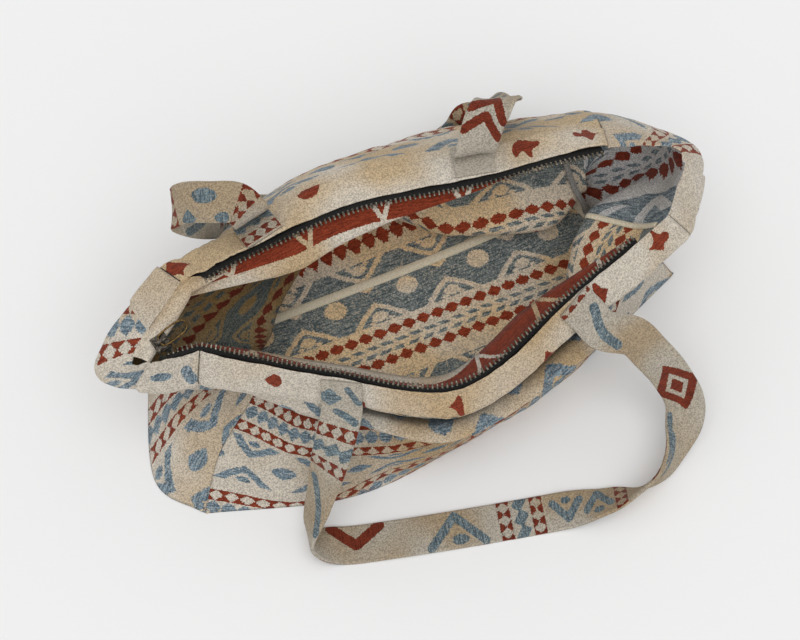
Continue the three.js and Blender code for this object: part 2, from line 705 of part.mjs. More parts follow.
addNode('zip_slider', slider.applyMatrix4(sliderTurn), '#4a4743', 0.35, 0.9);

const pivotHeight = plateTop + (bailHeight - bailBar) / 2;
const side = pullWide / 2;
const corner = 1.6;
const pullPath = new THREE.CatmullRomCurve3([
  new THREE.Vector3(0, -side + corner, 0),
  new THREE.Vector3(0, side - corner, 0),
  new THREE.Vector3(corner, side, 0),
  new THREE.Vector3(pullLong - corner * 2, side, 0),
  new THREE.Vector3(pullLong, side - corner * 1.6, 0),
  new THREE.Vector3(pullLong, -side + corner * 1.6, 0),
  new THREE.Vector3(pullLong - corner * 2, -side, 0),
  new THREE.Vector3(corner, -side, 0),
], true, 'centripetal');
const pullTube = new THREE.TubeGeometry(pullPath, 32, wire / 2, 6, true);
const pull = toGeometry(toSolid(pullTube));
pull.rotateY(-pullRest).translate(0, 0, pivotHeight);
addNode('zip_pull', pull.applyMatrix4(sliderTurn), '#b08d4a', 0.3, 1);

export default group;
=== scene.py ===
import math
import bpy
import numpy as np
from mathutils import Matrix, Vector


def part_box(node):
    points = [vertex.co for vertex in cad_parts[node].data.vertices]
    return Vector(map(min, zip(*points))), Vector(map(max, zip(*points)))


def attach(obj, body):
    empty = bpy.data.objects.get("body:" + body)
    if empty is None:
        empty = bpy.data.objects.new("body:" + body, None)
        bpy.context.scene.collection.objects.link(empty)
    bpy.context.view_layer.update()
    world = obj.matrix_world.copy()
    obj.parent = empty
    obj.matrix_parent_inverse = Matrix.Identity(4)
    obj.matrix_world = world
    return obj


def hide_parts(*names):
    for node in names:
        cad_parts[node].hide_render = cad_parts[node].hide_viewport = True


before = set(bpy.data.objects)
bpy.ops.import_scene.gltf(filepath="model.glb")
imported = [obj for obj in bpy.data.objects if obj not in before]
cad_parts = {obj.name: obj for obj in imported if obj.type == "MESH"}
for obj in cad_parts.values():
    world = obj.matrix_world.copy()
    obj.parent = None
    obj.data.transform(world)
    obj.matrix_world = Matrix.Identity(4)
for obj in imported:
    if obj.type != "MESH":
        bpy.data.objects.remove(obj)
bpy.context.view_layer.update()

mm = 0.001
print('stage: frame loaded')


# small node helpers
def tint(code):
    parts = [int(code[k:k + 2], 16) / 255 for k in (1, 3, 5)]
    return [p / 12.92 if p <= 0.04045 else ((p + 0.055) / 1.055) ** 2.4 for p in parts] + [1.0]


def feed(tree, socket, part):
    if isinstance(part, bpy.types.NodeSocket):
        tree.links.new(part, socket)
    else:
        socket.default_value = part


def calc(tree, kind, *parts):
    node = tree.nodes.new('ShaderNodeMath')
    node.operation = kind
    for socket, part in zip(node.inputs, parts):
        feed(tree, socket, part)
    return node.outputs[0]


def blendColour(tree, share, first, second, kind='MIX'):
    node = tree.nodes.new('ShaderNodeMix')
    node.data_type = 'RGBA'
    node.blend_type = kind
    feed(tree, node.inputs[0], share)
    feed(tree, node.inputs[6], first)
    feed(tree, node.inputs[7], second)
    return node.outputs[2]


def ramped(tree, value, low, high):
    node = tree.nodes.new('ShaderNodeMapRange')
    node.interpolation_type = 'SMOOTHSTEP'
    feed(tree, node.inputs['Value'], value)
    node.inputs['From Min'].default_value = low
    node.inputs['From Max'].default_value = high
    return node.outputs['Result']


def grainNoise(tree, x, y, z, scale, detail=2.0):
    place = tree.nodes.new('ShaderNodeCombineXYZ')
    for socket, part in zip(place.inputs, (x, y, z)):
        feed(tree, socket, part)
    noise = tree.nodes.new('ShaderNodeTexNoise')
    noise.inputs['Scale'].default_value = scale
    noise.inputs['Detail'].default_value = detail
    tree.links.new(place.outputs[0], noise.inputs['Vector'])
    return noise.outputs['Fac']


def newGroup(name, takes, gives):
    group = bpy.data.node_groups.new(name, 'ShaderNodeTree')
    for label, kind, value in takes:
        socket = group.interface.new_socket(label, in_out='INPUT', socket_type=kind)
        socket.default_value = value
    for label, kind in gives:
        group.interface.new_socket(label, in_out='OUTPUT', socket_type=kind)
    start = group.nodes.new('NodeGroupInput')
    end = group.nodes.new('NodeGroupOutput')
    return group, start.outputs, end.inputs


def useGroup(tree, group, **values):
    node = tree.nodes.new('ShaderNodeGroup')
    node.node_tree = group
    for label, part in values.items():
        feed(tree, node.inputs[label], part)
    return node.outputs


number = 'NodeSocketFloat'
colour = 'NodeSocketColor'
vector = 'NodeSocketVector'
noMark, fullMark = -100.0, 100.0  # millimetres inside a drawn edge: far outside it, or well within

# woven figures: one repeat across the bands, all in millimetres; a fill holds the share of the
# length, the share of the height, and the power that rounds or hollows the sides
figureSizes = {
    'repeat': 100.0, 'wrapFrom': -30.0, 'wideHalf': 24.0,
    'redRows': (33.0, 58.0), 'redHalf': 4.8, 'redPitch': 12.9,
    'redFill': (0.98, 1.02, 1.25), 'creamFill': (0.9, 0.98, 1.1),
    'chainRow': 46.5, 'chainHalf': 6.6, 'chainFill': (1.02, 0.9, 1.35),
    'dashOff': 3.2, 'dashLong': 4.1, 'dashTall': 1.9, 'dashSlant': 1.1, 'dashStart': 2.0,
    'figurePitch': 64.5, 'roseLong': 11.5, 'roseTall': 8.0,
    'gemFill': (0.95, 0.95, 1.45), 'flowerFill': (0.82, 1.02, 1.9),
    'roofTall': 19.0, 'roofWide': 25.0, 'roofPower': 1.12, 'roofInside': 0.72, 'roofOutside': 0.54,
    'coreLong': 7.5, 'coreTall': 4.8, 'coreAt': 5.6, 'coreFill': (1.0, 1.0, 1.5),
    'seedLong': 6.5, 'seedTall': 3.2, 'seedAt': 3.8,
    'hookLong': 3.4, 'hookTall': 2.4, 'hookDrop': 4.0, 'hookFill': (1.0, 1.0, 1.0),
    'stepAlong': 1.3, 'stepAcross': 1.15, 'fray': 1.2, 'frayGrain': 0.75, 'fraySlice': 40.0,
}


def makeFigureGroup(f):
    group, put, give = newGroup('wovenFigures', [
        ('along', number, 0.0), ('across', number, 0.0), ('turned', number, 0.0),
        ('hem', number, noMark), ('drawnRed', number, noMark), ('drawnBlue', number, noMark),
    ], [('red', number), ('blue', number)])

    def snapped(value, step):
        cell = calc(group, 'FLOOR', calc(group, 'DIVIDE', value, step))
        return calc(group, 'MULTIPLY', calc(group, 'ADD', cell, 0.5), step)

    def below(value, limit):
        return calc(group, 'LESS_THAN', value, limit)

    def far(value, middle):
        return calc(group, 'ABSOLUTE', calc(group, 'SUBTRACT', value, middle))

    def lozenge(a, b, wide, tall, power):
        one = calc(group, 'POWER', calc(group, 'DIVIDE', a, wide), power)
        two = calc(group, 'POWER', calc(group, 'DIVIDE', b, tall), power)
        return calc(group, 'ADD', one, two)

    def filled(a, b, wide, tall, fill):
        return below(lozenge(a, b, wide * fill[0], tall * fill[1], fill[2]), 1.0)

    def either(*masks):
        total = masks[0]
        for mask in masks[1:]:
            total = calc(group, 'MAXIMUM', total, mask)
        return total

    def less(one, other):
        return calc(group, 'MULTIPLY', one, calc(group, 'SUBTRACT', 1.0, other))

    def swapped(outside, inside):
        return calc(group, 'ADD', calc(group, 'MULTIPLY', inside, put['turned']), less(outside, put['turned']))

    fray = grainNoise(group, put['along'], put['across'], 0.0, f['frayGrain'])
    frayOther = grainNoise(group, put['along'], put['across'], f['fraySlice'], f['frayGrain'])
    swayA = calc(group, 'MULTIPLY_ADD', fray, f['fray'] * 2, -f['fray'])
    swayQ = calc(group, 'MULTIPLY_ADD', frayOther, f['fray'] * 2, -f['fray'])
    along = snapped(calc(group, 'ADD', put['along'], swayA), f['stepAlong'])
    across = snapped(calc(group, 'ADD', put['across'], swayQ), f['stepAcross'])
    q = calc(group, 'WRAP', across, f['wrapFrom'] + f['repeat'], f['wrapFrom'])

    half = f['redPitch'] / 2
    beat = calc(group, 'ABSOLUTE', calc(group, 'WRAP', along, half, -half))
    redOff = calc(group, 'MINIMUM', far(q, f['redRows'][0]), far(q, f['redRows'][1]))
    redRow = below(redOff, f['redHalf'])
    redDiamond = filled(beat, redOff, half, f['redHalf'], f['redFill'])
    creamDiamond = filled(beat, redOff, half, f['redHalf'], f['creamFill'])
    chainOval = filled(beat, far(q, f['chainRow']), half, f['chainHalf'], f['chainFill'])
    dashes = []
    for side in (-1, 1):
        off = calc(group, 'SUBTRACT', q, f['chainRow'] + side * f['dashOff'])
        leaned = calc(group, 'ADD', along, calc(group, 'MULTIPLY', off, side * f['dashSlant']))
        leaned = calc(group, 'ADD', leaned, side * f['dashStart'])
        place = calc(group, 'ABSOLUTE', calc(group, 'WRAP', leaned, half, -half))
        dashes.append(calc(group, 'MULTIPLY', below(calc(group, 'ABSOLUTE', off), f['dashTall']),
                           below(place, f['dashLong'])))

    wideOff = calc(group, 'ABSOLUTE', q)
    wideBand = below(wideOff, f['wideHalf'])
    pitch = f['figurePitch'] / 2
    fromRose = calc(group, 'ABSOLUTE', calc(group, 'WRAP', along, pitch, -pitch))
    fromRoof = calc(group, 'SUBTRACT', pitch, fromRose)
    fromEdge = calc(group, 'SUBTRACT', f['wideHalf'], wideOff)
    gem = filled(fromRose, wideOff, f['roseLong'], f['roseTall'], f['gemFill'])
    flower = filled(fromRose, wideOff, f['roseLong'], f['roseTall'], f['flowerFill'])
    roof = lozenge(fromRoof, fromEdge, f['roofWide'], f['roofTall'], f['roofPower'])
    thinRoof, boldRoof = (less(below(roof, 1.0), below(roof, f[key])) for key in ('roofInside', 'roofOutside'))
    core = filled(fromRoof, far(fromEdge, f['coreAt']), f['coreLong'], f['coreTall'], f['coreFill'])
    hook = filled(far(fromRoof, f['coreLong']), far(fromEdge, f['coreAt'] - f['hookDrop']),
                  f['hookLong'], f['hookTall'], f['hookFill'])
    seed = filled(fromRoof, far(fromEdge, f['seedAt']), f['seedLong'], f['seedTall'], f['coreFill'])
    outsideFigure, insideFigure = either(gem, boldRoof, seed), either(flower, thinRoof, core, hook)

    red = swapped(less(redRow, creamDiamond), redDiamond)
    blueRow = swapped(chainOval, either(*dashes))
    insideField = calc(group, 'SUBTRACT', 1.0, insideFigure)
    blueWide = calc(group, 'MULTIPLY', wideBand, swapped(outsideFigure, insideField))
    blue = either(blueRow, blueWide)
    hem = calc(group, 'GREATER_THAN', calc(group, 'ADD', put['hem'], swayQ), 0.0)
    drawnRed = calc(group, 'GREATER_THAN', calc(group, 'ADD', put['drawnRed'], swayA), 0.0)
    drawnBlue = calc(group, 'GREATER_THAN', calc(group, 'ADD', put['drawnBlue'], swayQ), 0.0)
    group.links.new(either(less(red, hem), drawnRed), give['red'])
    group.links.new(less(either(less(blue, hem), drawnBlue), drawnRed), give['blue'])
    return group


figureGroup = makeFigureGroup(figureSizes)

# yarn colours and threads shared by every woven finish
yarnLook = {
    'grain': 0.85, 'grainCoarse': 0.3, 'fineShare': 0.82, 'coarseShare': 0.18, 'weave': 1.4,
    'streakLong': 0.09, 'streakFine': 0.75, 'cloud': 0.014, 'cloudRange': (0.36, 0.66),
    'speckRange': (0.36, 0.62), 'speckLow': 0.7, 'speckSpan': 0.56,
    'blueRange': (0.36, 0.64), 'fleckRange': (0.52, 0.66), 'fleckShare': 0.45,
    'redRange': (0.32, 0.6), 'redShade': (0.6, 0.5, 0.48, 1.0),
    # one entry below sets how dark the painted shade under the front hem gets
    'checkShade': 0.05, 'creaseDark': 0.86, 'checkHeight': 0.3, 'blueHeight': 0.25, 'redHeight': 0.3,
}


def makeYarnGroup(y):
    group, put, give = newGroup('yarnTones', [
        ('along', number, 0.0), ('across', number, 0.0), ('place', vector, (0.0, 0.0, 0.0)),
        ('red', number, 0.0), ('blue', number, 0.0), ('cool', number, 0.0), ('crease', number, 0.0),
        ('warmTone', colour, tint('#b49c7a')), ('coolTone', colour, tint('#c6bdaf')),
        ('redTone', colour, tint('#84371f')), ('blueTone', colour, tint('#8395a0')),
        ('blueDeep', colour, tint('#506370')),
    ], [('tone', colour), ('height', number)])
    along, across = put['along'], put['across']

    def placeNoise(scale, detail):
        noise = group.nodes.new('ShaderNodeTexNoise')
        noise.inputs['Scale'].default_value = scale
        noise.inputs['Detail'].default_value = detail
        group.links.new(put['place'], noise.inputs['Vector'])
        return noise.outputs['Fac']

    grain = placeNoise(y['grain'], 2.0)
    coarse = placeNoise(y['grainCoarse'], 2.0)
    cloud = placeNoise(y['cloud'], 1.0)
    streak = grainNoise(group, calc(group, 'MULTIPLY', along, y['streakLong']),
                        calc(group, 'MULTIPLY', across, y['streakFine']), 5.0, 1.0)
    drift = calc(group, 'ADD', ramped(group, cloud, *y['cloudRange']), put['cool'])
    drift = calc(group, 'MINIMUM', calc(group, 'MAXIMUM', drift, 0.0), 1.0)
    cream = blendColour(group, drift, put['warmTone'], put['coolTone'])
    mixedGrain = calc(group, 'ADD', calc(group, 'MULTIPLY', grain, y['fineShare']),
                      calc(group, 'MULTIPLY', coarse, y['coarseShare']))
    speck = ramped(group, mixedGrain, *y['speckRange'])
    speck = calc(group, 'MULTIPLY_ADD', speck, y['speckSpan'], y['speckLow'])
    blue = blendColour(group, ramped(group, streak, *y['blueRange']), put['blueDeep'], put['blueTone'])
    fleck = calc(group, 'MULTIPLY', ramped(group, mixedGrain, *y['fleckRange']), y['fleckShare'])
    blue = blendColour(group, fleck, blue, cream)
    redDark = blendColour(group, 1.0, put['redTone'], y['redShade'], 'MULTIPLY')
    red = blendColour(group, ramped(group, streak, *y['redRange']), redDark, put['redTone'])
    tone = blendColour(group, put['blue'], cream, blue)
    tone = blendColour(group, put['red'], tone, red)
    threadA = calc(group, 'SINE', calc(group, 'MULTIPLY', along, 2 * math.pi / y['weave']))
    threadB = calc(group, 'SINE', calc(group, 'MULTIPLY', across, 2 * math.pi / y['weave']))
    check = calc(group, 'MULTIPLY', threadA, threadB)
    shade = calc(group, 'MULTIPLY', calc(group, 'MULTIPLY_ADD', check, y['checkShade'], 1.0), speck)
    # painted shade: the cloth is darkened where the point attribute from frontFold is set, just under the front
    # hem edge
    sunk = calc(group, 'MULTIPLY_ADD', calc(group, 'MAXIMUM', put['crease'], 0.0), -y['creaseDark'], 1.0)
    shade = calc(group, 'MULTIPLY', shade, sunk)
    shadeColour = group.nodes.new('ShaderNodeCombineColor')
    for k in range(3):
        group.links.new(shade, shadeColour.inputs[k])
    tone = blendColour(group, 1.0, tone, shadeColour.outputs[0], 'MULTIPLY')
    height = calc(group, 'ADD', calc(group, 'MULTIPLY', check, y['checkHeight']), mixedGrain)
    for mask in ('blue', 'red'):
        height = calc(group, 'ADD', height, calc(group, 'MULTIPLY', put[mask], y[mask + 'Height']))
    group.links.new(tone, give['tone'])
    group.links.new(height, give['height'])
    return group


yarnGroup = makeYarnGroup(yarnLook)


def newMaterial(name, roughness, metallic=0.0, specular=0.5, sheen=0.0):
    material = bpy.data.materials.new(name)
    material.use_nodes = True
    tree = material.node_tree
    shader = tree.nodes['Principled BSDF']
    shader.inputs['Roughness'].default_value = roughness
    shader.inputs['Metallic'].default_value = metallic
    shader.inputs['Specular IOR Level'].default_value = specular
    shader.inputs['Sheen Weight'].default_value = sheen
    return material, tree, shader


def addBump(tree, shader, height, strength, distance):
    bump = tree.nodes.new('ShaderNodeBump')
    bump.inputs['Strength'].default_value = strength
    bump.inputs['Distance'].default_value = distance
    feed(tree, bump.inputs['Height'], height)
    tree.links.new(bump.outputs['Normal'], shader.inputs['Normal'])


def inMillimetres(tree, source):
    mapping = tree.nodes.new('ShaderNodeMapping')
    mapping.inputs['Scale'].default_value = (1000, 1000, 1000)
    tree.links.new(source, mapping.inputs[0])
    return mapping.outputs[0]


def splitParts(tree, source):
    split = tree.nodes.new('ShaderNodeSeparateXYZ')
    tree.links.new(source, split.inputs[0])
    return list(split.outputs)


def uvInMillimetres(tree):
    source = tree.nodes.new('ShaderNodeUVMap')
    source.uv_map = 'clothMap'
    return splitParts(tree, inMillimetres(tree, source.outputs[0]))[:2]


def placeInMillimetres(tree):
    source = tree.nodes.new('ShaderNodeTexCoord')
    return inMillimetres(tree, source.outputs['Object'])


def pointValue(tree, name):
    node = tree.nodes.new('ShaderNodeAttribute')
    node.attribute_name = name
    return node.outputs['Fac']


clothShine = {'roughness': 0.9, 'specular': 0.2, 'sheen': 0.1}


# tones are hex codes; coolRun holds the middle x, the reach and the start of the cool drift
def wovenFinish(name, turned=0.0, cool=0.0, coolRun=None, **tones):
    material, tree, shader = newMaterial(name, **clothShine)
    along, across = uvInMillimetres(tree)
    place = placeInMillimetres(tree)
    if coolRun:
        middle, reach, low = coolRun
        away = calc(tree, 'ABSOLUTE', calc(tree, 'SUBTRACT', splitParts(tree, place)[0], middle))
        cool = calc(tree, 'MULTIPLY_ADD', away, 1 / reach, low)
    drawn = {label: pointValue(tree, label) for label in ('hem', 'drawnRed', 'drawnBlue')}
    masks = useGroup(tree, figureGroup, along=along, across=across, turned=turned, **drawn)
    # the yarn tones also take the painted shade attribute that darkens the cloth under the front hem
    yarn = useGroup(tree, yarnGroup, along=along, across=across, place=place, cool=cool,
                    red=masks['red'], blue=masks['blue'], crease=pointValue(tree, 'crease'),
                    **{label: tint(code) for label, code in tones.items()})
    tree.links.new(yarn['tone'], shader.inputs['Base Color'])
    addBump(tree, shader, yarn['height'], 0.6, 0.001)
    return material


# the cloth shell: stations, folds and levels as in the solids
bagShape = {
    'halfLength': 220 * mm, 'halfDepth': 115 * mm, 'rimHeight': 165 * mm,
    'clothThick': 2 * mm, 'bandWidth': 30 * mm,
    'levelRise': (0.2, 0.42, 0.58, 0.76), 'levelLean': (0.13, 0.42, 0.58, 0.74),
    'pushShare': (0.25, 1, 0.4, 0.1),
}
foldKinds = {
    'tucked': (0, 0, 0.02, 0.03, 0.17), 'crushed': (-0.1, -0.3, -0.05, -0.04, 0.08),
    'pressed': (-0.1, 0, -0.05, -0.05, 0.1), 'rolled': (0.035, -0.085, 0.11, -0.035, 0.09),
    'swept': (0.11, 0.24, 0.235, 0.2, 0.17), 'slumped': (-0.22, 0.36, 0.31, 0.24, 0.17),
    'slumpedSoft': (-0.2, 0.36, 0.33, 0.26, 0.18), 'slumpedEnd': (-0.2, 0.24, 0.225, 0.19, 0.155),
}
stationList = (  # name, foot, rim, height, folds, slack, push
    ('leftTip', (-1.01, 0.05), (-1.082, -0.29), 0.79, 'tucked', 1, (0.5, -0.07)),
    ('leftFront', (-1.145, -0.72), (-1.01, -0.38), 0.79, 'tucked', 0.8, (0.44, 0.2)),
    ('frontLeft', (-1.027, -1.1), (-0.855, -0.43), 0.79, 'pressed', 1, (0.26, 0.27)),
    ('frontStrapLeft', (-0.53, -1.4), (-0.48, -0.95), 0.79, 'crushed', 0.8, (0, 0)),
    ('frontMiddle', (-0.12, -1.38), (-0.08, -1.39), 0.79, 'rolled', 1, (0, 0)),
    ('frontStrapRight', (0.4, -1.2), (0.41, -1.13), 0.85, 'rolled', 1.3, (0, 0)),
    ('frontRight', (0.98, -0.78), (0.86, -0.86), 0.9, 'tucked', 0.72, (-0.23, 0.47)),
    ('rightTip', (0.8, 0.05), (1.02, -0.45), 0.91, 'swept', 0.7, (0, 0)),
    ('backRight', (0.84, 0.36), (0.77, -0.24), 0.97, 'slumpedEnd', 1, (0, 0)),
    ('backSag', (0.6, 0.2), (0.54, -0.18), 1, 'slumped', 1, (0, 0)),
    ('backStrapRight', (0.28, 0.42), (0.29, -0.13), 1, 'slumpedSoft', 1, (0, 0)),
    ('backMiddle', (-0.15, 0.66), (-0.15, 0.04), 1, 'swept', 1.1, (0, 0)),
    ('backStrapLeft', (-0.49, 0.54), (-0.49, 0.06), 0.94, 'swept', 0.92, (0, 0)),
    ('backLeft', (-0.94, 0.36), (-0.82, 0.06), 0.86, 'tucked', 0.98, (0.61, 0.06)),
)
stationNames = [one[0] for one in stationList]
stationCount = len(stationList)
edgePull = 0.5  # how far the curve leans on its neighbours along feet and rims


def smoothPath(points, shares, pull=None):
    points = np.asarray(points, float)
    shares = np.asarray(shares, float)
    count = points.shape[-2]
    first = 2 * points[..., :1, :] - points[..., 1:2, :]
    last = 2 * points[..., -1:, :] - points[..., -2:-1, :]
    run = np.concatenate([first, points, last], axis=-2)
    at = np.clip(shares, 0, 1) * (count - 1)
    leg = np.minimum(at.astype(int), count - 2)
    w = (at - leg)[:, None]
    a, b, c, d = (run[..., leg + k, :] for k in range(4))
    if pull is None:
        ab, bc, cd = (np.sum((q - p) ** 2, axis=-1, keepdims=True) ** 0.25 for p, q in ((a, b), (b, c), (c, d)))
        inTurn = ((b - a) / ab - (c - a) / (ab + bc) + (c - b) / bc) * bc
        outTurn = ((c - b) / bc - (d - b) / (bc + cd) + (d - c) / cd) * bc
    else:
        inTurn = pull * (c - a)
        outTurn = pull * (d - b)
    square = 3 * (c - b) - 2 * inTurn - outTurn
    cube = 2 * (b - c) + inTurn + outTurn
    return b + inTurn * w + square * w ** 2 + cube * w ** 3


def unit(v):
    return v / np.maximum(np.linalg.norm(v, axis=-1, keepdims=True), 1e-12)


def placeStations(shape):
    scale = np.array((shape['halfLength'], shape['halfDepth'], shape['rimHeight']))
    placed = []
    for foot, rim, height, kind, slack, push in (one[1:] for one in stationList):
        placed.append({
            'foot': np.array((*foot, 0)) * scale, 'rim': np.array((*rim, height)) * scale,
            'swing': np.array(foldKinds[kind]) * slack * shape['rimHeight'],
            'push': np.array((*push, 0)) * scale,
        })
    for k, one in enumerate(placed):
        before, after = placed[k - 1], placed[(k + 1) % stationCount]
        along = after['foot'] - before['foot'] + after['rim'] - before['rim']
        one['out'] = unit(np.array((along[1], -along[0], 0)))
    return placed


placedStations = placeStations(bagShape)


def stationAt(name):
    return stationNames.index(name)


def panelCurves(first, last):
    members = [placedStations[k % stationCount] for k in range(first, last + 1)]
    return {
        'first': first, 'span': last - first,
        'foot': np.array([m['foot'] for m in members]), 'rim': np.array([m['rim'] for m in members]),
        'out': np.array([m['out'] for m in members]), 'push': np.array([m['push'] for m in members]),
        'low': np.array([m['swing'][:3] for m in members]), 'high': np.array([m['swing'][3:] for m in members]),
    }


frontCloth = panelCurves(stationAt('frontLeft'), stationAt('frontRight'))
rightCloth = panelCurves(stationAt('frontRight'), stationAt('backRight'))
backCloth = panelCurves(stationAt('backRight'), stationAt('backLeft'))
leftCloth = panelCurves(stationAt('backLeft'), stationCount + stationAt('frontLeft'))
panelOrder = (leftCloth, frontCloth, rightCloth, backCloth)


def uprightLines(panel, u):
    foot, rim, out = (smoothPath(panel[key], u, edgePull) for key in ('foot', 'rim', 'out'))
    out = unit(out)
    push = smoothPath(panel['push'], u, 0.2)
    swing = np.concatenate([smoothPath(panel['low'], u, 0.15), smoothPath(panel['high'], u, 0.3)], axis=1)
    lines = [foot]
    for k in range(4):
        spot = foot + (rim - foot) * bagShape['levelLean'][k]
        spot[:, 2] = rim[:, 2] * bagShape['levelRise'][k]
        lines.append(spot + out * swing[:, k:k + 1] + push * bagShape['pushShare'][k])
    band = bagShape['bandWidth']
    reach = np.minimum(swing[:, 4], band * 0.97)
    fold = rim + out * reach[:, None]
    fold[:, 2] -= np.sqrt(band ** 2 - reach ** 2)
    return np.stack([*lines, fold, rim], axis=1)


def wallGrid(panel, u, t):
    return smoothPath(uprightLines(panel, np.atleast_1d(u)), np.atleast_1d(t))


tipLeft = (stationCount + stationAt('leftTip') - leftCloth['first']) / leftCloth['span']
tipRight = (stationAt('rightTip') - rightCloth['first']) / rightCloth['span']
endSides = {
    'leftToFront': lambda w: smoothPath(leftCloth['foot'], tipLeft + (1 - tipLeft) * w, edgePull),
    'leftToBack': lambda w: smoothPath(leftCloth['foot'], tipLeft * (1 - w), edgePull),
    'rightToFront': lambda w: smoothPath(rightCloth['foot'], tipRight * (1 - w), edgePull),
    'rightToBack': lambda w: smoothPath(rightCloth['foot'], tipRight + (1 - tipRight) * w, edgePull),
}


def bottomGrid(panel, u, w, firstSide, lastSide):
    ends = np.array([0.0, 1.0])
    a0, a1 = endSides[firstSide](ends)
    b0, b1 = endSides[lastSide](ends)
    endA, endB = endSides[firstSide](w), endSides[lastSide](w)
    foot = smoothPath(panel['foot'], u, edgePull)
    seam = a0 + (b0 - a0) * u[:, None]
    grid = seam[:, None] + (foot - seam)[:, None] * w[None, :, None]
    cornerA = a0 + (a1 - a0) * w[:, None]
    cornerB = b0 + (b1 - b0) * w[:, None]
    return grid + (endA - cornerA)[None] * (1 - u)[:, None, None] + (endB - cornerB)[None] * u[:, None, None]


def gridNormals(grid):
    return unit(np.cross(np.gradient(grid, axis=0), np.gradient(grid, axis=1)))


def softRipple(s, d, longest, shortest, waves, seed):
    picks = np.random.default_rng(seed)
    total = np.zeros_like(s)
    for k in range(waves):
        wave = shortest * (longest / shortest) ** picks.random()
        angle = picks.random() * math.pi
        phase = (s * math.cos(angle) + d * math.sin(angle)) * 2 * math.pi / wave
        total += np.sin(phase + picks.random() * 6.28)
    return total / math.sqrt(waves)


def arcLengths(grid, axis):
    steps = np.linalg.norm(np.diff(grid, axis=axis), axis=-1)
    start = np.zeros_like(np.take(steps, [0], axis=axis))
    return np.cumsum(np.concatenate([start, steps], axis=axis), axis=axis)


def sheetMesh(name, outer, inner, mapOuter, mapInner, finishes, lip=0.0, marks=None):
    columns, rows = outer.shape[:2]
    lipRow = (outer[:, -1] + inner[:, -1]) / 2 + unit(outer[:, -1] - outer[:, -2]) * lip
    ring = np.concatenate([outer, lipRow[:, None], inner[:, ::-1]], axis=1)
    ringMap = np.concatenate([mapOuter, mapOuter[:, -1:], mapInner[:, ::-1]], axis=1)
    tall = ring.shape[1]
    index = np.arange(columns * tall).reshape(columns, tall)
    after = np.roll(index, -1, axis=1)
    quads = np.stack([index[:-1], index[1:], after[1:], after[:-1]], axis=-1).reshape(-1, 4)
    slots = np.tile((np.arange(tall) >= rows).astype(int), columns - 1)
    low, high = index[:, :rows], index[:, :rows:-1]
    caps = []
    for edge, flip in ((0, False), (columns - 1, True)):
        for j in range(rows - 1):
            quad = (low[edge, j], low[edge, j + 1], high[edge, j + 1], high[edge, j])
            caps.append(quad[::-1] if flip else quad)
    lips = [(index[0, rows - 1], index[0, rows], index[0, rows + 1]),
            (index[-1, rows + 1], index[-1, rows], index[-1, rows - 1])]
    faces = [tuple(q) for q in quads.tolist()] + [tuple(int(v) for v in q) for q in caps + lips]
    mesh = bpy.data.meshes.new(name)
    mesh.from_pydata(ring.reshape(-1, 3).tolist(), [], faces)
    for finish in finishes:
        mesh.materials.append(finish)
    slots = np.concatenate([slots, np.zeros(len(caps) + len(lips), int)])
    mesh.polygons.foreach_set('material_index', slots.astype(np.int32))
    layer = mesh.uv_layers.new(name='clothMap')
    corners = np.zeros(len(mesh.loops), np.int32)
    mesh.loops.foreach_get('vertex_index', corners)
    layer.data.foreach_set('uv', ringMap.reshape(-1, 2)[corners].ravel().astype(np.float32))
    mesh.polygons.foreach_set('use_smooth', np.ones(len(faces), bool))
    # point attributes for the finishes: the hem, the drawn figures, and the painted shade under the front hem
    for label in ('hem', 'drawnRed', 'drawnBlue', 'crease'):
        values = np.full((columns, tall), noMark)
        if marks and label in marks:
            outside, inside = (np.broadcast_to(part, (columns, rows)) for part in marks[label])
            values = np.concatenate([outside, outside[:, -1:], inside[:, ::-1]], axis=1)
        mark = mesh.attributes.new(label, 'FLOAT', 'POINT')
        mark.data.foreach_set('value', values.ravel().astype(np.float32))
    mesh.update()
    piece = bpy.data.objects.new(name, mesh)
    bpy.context.scene.collection.objects.link(piece)
    return piece


# drawn figures: each shape gives the millimetres inside its edge
bandShapes = {
    'gemEdge': 0.7, 'ringMiddle': (0.58, 0.54), 'ringCore': (0.34, 0.31),
    'bowPitch': 10.6, 'bowLong': 5.2, 'bowTall': 4.8, 'bowEdge': 3,
    'chainPitch': 12.8, 'chainLean': 0.4, 'chainHalf': (6.8, 7.4),
}


def ovalShape(a, b, at, half):
    return (1 - np.hypot((a - at[0]) / half[0], (b - at[1]) / half[1])) * min(half)


def gemShape(a, b, at, half):
    return (1 - np.abs(a - at[0]) / half[0] - np.abs(b - at[1]) / half[1]) * min(half) * bandShapes['gemEdge']


def strokeShape(a, b, start, end, half):
    way = (end[0] - start[0], end[1] - start[1])
    share = np.clip(((a - start[0]) * way[0] + (b - start[1]) * way[1]) / (way[0] ** 2 + way[1] ** 2), 0, 1)
    return half - np.hypot(a - start[0] - way[0] * share, b - start[1] - way[1] * share)


def veeShape(a, b, apex, reach, half):
    return strokeShape(np.abs(a - apex[0]), b, (0, apex[1]), (reach[0], apex[1] + reach[1]), half)


def arrowShape(a, b, apex, reach, half):
    return strokeShape(np.abs(b - apex[1]), a, (0, apex[0]), (reach[1], apex[0] + reach[0]), half)


def ringShape(a, b, at, half):
    middle, core = (gemShape(a, b, at, (half[0] * bandShapes[key][0], half[1] * bandShapes[key][1]))
                    for key in ('ringMiddle', 'ringCore'))
    return np.maximum(np.minimum(gemShape(a, b, at, half), -middle), core)


def bowShape(a, b, at):
    half, long = bandShapes['bowPitch'] / 2, bandShapes['bowLong']
    beat = np.abs((b + half) % bandShapes['bowPitch'] - half)
    waist = beat / bandShapes['bowTall'] + np.abs(a - at) / long - 1
    return np.minimum(long - np.abs(a - at), waist * bandShapes['bowEdge'])


def chainShape(a, b, at):
    half = bandShapes['chainPitch'] / 2
    beat = np.abs((b + bandShapes['chainLean'] * (a - at) + half) % bandShapes['chainPitch'] - half)
    return gemShape(a - at, beat, (0, 0), bandShapes['chainHalf'])


